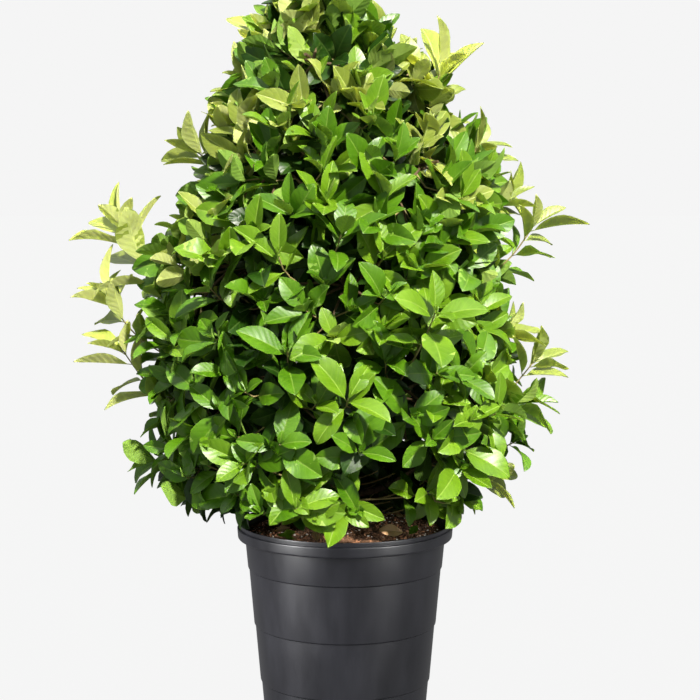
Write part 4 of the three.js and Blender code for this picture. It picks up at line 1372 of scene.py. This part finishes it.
def leaf_piece(name, leaves, materials):
    """One joined piece of many leaves, with its leaf map and crisp edges at margin and midrib."""
    count = len(leaves)
    starts = np.arange(count)[:, None, None] * LEAF_POINTS
    quads = (np.array(leaf_quads)[None] + starts).reshape(-1, 4)
    ends = (np.array(leaf_ends)[None] + starts).reshape(-1, len(COLUMNS))
    points = leaf_points(leaves).reshape(-1, 3)
    piece = place_mesh(name, points, quads.tolist() + ends.tolist(), materials)
    mesh = piece.data
    slots = np.concatenate([np.tile(quad_slots, count), np.tile(end_slots, count)])
    mesh.polygons.foreach_set("material_index", slots.astype(np.int32))
    corners = np.empty(len(mesh.loops), dtype=np.int32)
    mesh.loops.foreach_get("vertex_index", corners)
    leaf_map = mesh.uv_layers.new(name="blade")
    leaf_map.data.foreach_set("uv", map_of_leaf[corners % LEAF_POINTS].ravel())
    mesh.shade_smooth()
    edges = np.empty(len(mesh.edges) * 2, dtype=np.int32)
    mesh.edges.foreach_get("vertices", edges)
    columns = column_of_point[edges.reshape(-1, 2) % LEAF_POINTS]
    crisp = (columns[:, 0] == columns[:, 1]) & np.isin(columns[:, 0], CRISP_COLUMNS)
    mesh.attributes.new("sharp_edge", "BOOLEAN", "EDGE").data.foreach_set("value", crisp)
    return piece


for tint, leaves in leaves_by_tint.items():
    materials = leaf_finishes(tint)
    for part in range(0, len(leaves), LEAVES_PER_PIECE):
        name = f"leaves_{tint}_{part // LEAVES_PER_PIECE + 1}"
        piece = leaf_piece(name, leaves[part:part + LEAVES_PER_PIECE], materials)
        settle(piece, "foliage", *FOLIAGE_NODES)

# %% [markdown]
# ## Floor and light
# The shrub stands on a plain white floor in a plain bright room. The light is a clear, slightly
# warm key from high in front and to the right, with a soft room round it. What the room gives to
# the shaded leaves is tinted a little green, as light is that leaves pass on to each other. Two
# tall soft lamps draw the upright bands of light down the pot, and two higher ones the bright
# line on its rim. They light only the pot and its mix, and the key leaves the pot out.

# %% White floor
FLOOR_SIZE = 40.0
FLOOR_GREY = (0.02, 0.02, 0.02, 1)
FLOOR_GLOW = 0.25
ROOM_WHITE = 0.913
FLOOR_DIM = 0.004
floor_corners = [(x * FLOOR_SIZE, y * FLOOR_SIZE, 0.0) for x, y in ((-1, -1), (1, -1), (1, 1), (-1, 1))]
floor_finish = bpy.data.materials.new("white_floor")
floor_finish.use_nodes = True
tree = floor_finish.node_tree
shader = tree.nodes["Principled BSDF"]
shader.inputs["Base Color"].default_value = FLOOR_GREY
shader.inputs["Roughness"].default_value = 0.9
shader.inputs["Specular IOR Level"].default_value = 0.0
shader.inputs["Emission Color"].default_value = WHITE
ray = wire(tree, "ShaderNodeLightPath").outputs
glow = ramp(tree, ray["Is Camera Ray"], ends=(FLOOR_GLOW, ROOM_WHITE - FLOOR_DIM))
tree.links.new(glow, shader.inputs["Emission Strength"])
floor = place_mesh("floor", floor_corners, [(0, 1, 2, 3)], [floor_finish])
floor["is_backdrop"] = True
print("floor", 2 * FLOOR_SIZE, "m wide")

# %% Room
ROOM_GLOW = 0.47
ROOM_SHEEN = 0.12
CEILING_SHEEN = 1.25
CEILING_SPAN = (0.20, 0.80)
FILL_TINT = (0.84, 1.0, 0.82, 1)
world = bpy.data.worlds.new("white_room")
bpy.context.scene.world = world
world.use_nodes = True
tree = world.node_tree
background = tree.nodes["Background"]
ray = wire(tree, "ShaderNodeLightPath").outputs
direction = wire(tree, "ShaderNodeTexCoord").outputs["Generated"]
upward = wire(tree, "ShaderNodeSeparateXYZ", Vector=direction).outputs[2]
sheen = ramp(tree, upward, CEILING_SPAN, (ROOM_SHEEN, CEILING_SHEEN))
glow = ramp(tree, ray["Is Glossy Ray"], ends=(ROOM_GLOW, sheen))
glow = ramp(tree, ray["Is Camera Ray"], ends=(glow, ROOM_WHITE))
tree.links.new(glow, background.inputs["Strength"])
seen = reckon(tree, "MAXIMUM", ray["Is Camera Ray"], ray["Is Glossy Ray"])
tree.links.new(mix_colours(tree, seen, FILL_TINT, WHITE), background.inputs["Color"])
print("room", world.name)


# %% Lamps
def lamp(name, kind, energy, location, target, **settings):
    """A lamp of some kind and strength, turned to face its target."""
    data = bpy.data.lights.new(name, kind)
    data.energy = energy
    for key, value in settings.items():
        setattr(data, key, value)
    lamp_object = bpy.data.objects.new(name, data)
    bpy.context.scene.collection.objects.link(lamp_object)
    lamp_object.location = location
    aim = np.array(target) - np.array(location)
    flat = math.hypot(aim[0], aim[1])
    lamp_object.rotation_euler = (math.pi / 2 + math.atan2(aim[2], flat), 0, math.atan2(-aim[0], aim[1]))
    return lamp_object


def light_only(lamps, name, pieces):
    """Keeps lamps to some pieces, as a card in front of a lamp does in a studio."""
    lit = bpy.data.collections.new(name)
    for piece in pieces:
        lit.objects.link(piece)
    for one in lamps:
        one.light_linking.receiver_collection = lit
    print([one.name for one in lamps], "on", len(pieces), "pieces")


KEY_PLACE = (1.11, -2.22, 2.16)
KEY_COLOUR = (1.0, 0.94, 0.87)
KEY_ANGLE = math.radians(4.0)
BAND_AIM = (0, 0, 0.25)
BAND = {"shape": "RECTANGLE", "size_y": 1.8}
GLINT_AIM = (0, 0, 0.33)
GLINT = {"shape": "RECTANGLE", "size": 0.60, "size_y": 0.5}
key = lamp("key", "SUN", 7.35, KEY_PLACE, (0, 0, 0), angle=KEY_ANGLE, color=KEY_COLOUR)
band_lamps = [
    lamp("left_band", "AREA", 128.0, (-1.47, -1.04, 0.70), BAND_AIM, size=0.28, **BAND),
    lamp("right_band", "AREA", 62.0, (1.29, -1.25, 0.70), BAND_AIM, size=0.24, **BAND),
]
rim_lamps = [
    lamp("left_glint", "AREA", 60.0, (-1.12, -0.92, 1.60), GLINT_AIM, **GLINT),
    lamp("right_glint", "AREA", 26.0, (1.00, -1.04, 1.60), GLINT_AIM, **GLINT),
]
light_only([key], "lit_by_key", [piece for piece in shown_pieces() if piece is not pot])
light_only(band_lamps, "lit_by_bands", [pot, *bed_pieces])
light_only(rim_lamps, "lit_by_glints", [pot])

# %% [markdown]
# ## Camera
# The pot's rim and steps are ellipses in the picture, and their flatness tells the camera's
# height and distance: close to three metres away, with a long lens, a little above the middle of
# the crown and tilted slightly down. The crown's top and the pot's foot run out of the frame.

# %% Camera at the picture's viewpoint
CAMERA_PLACE = (0.0083, -2.852, 0.908)
CAMERA_TILT = math.radians(5.66)
SENSOR = 36.0
LENS = 88.71
camera_data = bpy.data.cameras.new("camera")
camera_data.sensor_width = SENSOR
camera_data.lens = LENS
camera = bpy.data.objects.new("camera", camera_data)
bpy.context.scene.collection.objects.link(camera)
camera.location = CAMERA_PLACE
camera.rotation_euler = (math.pi / 2 - CAMERA_TILT, 0, 0)
bpy.context.scene.camera = camera
bpy.context.scene.view_settings.view_transform = "Standard"
print("camera at", CAMERA_PLACE, "with a lens of", LENS, "mm")
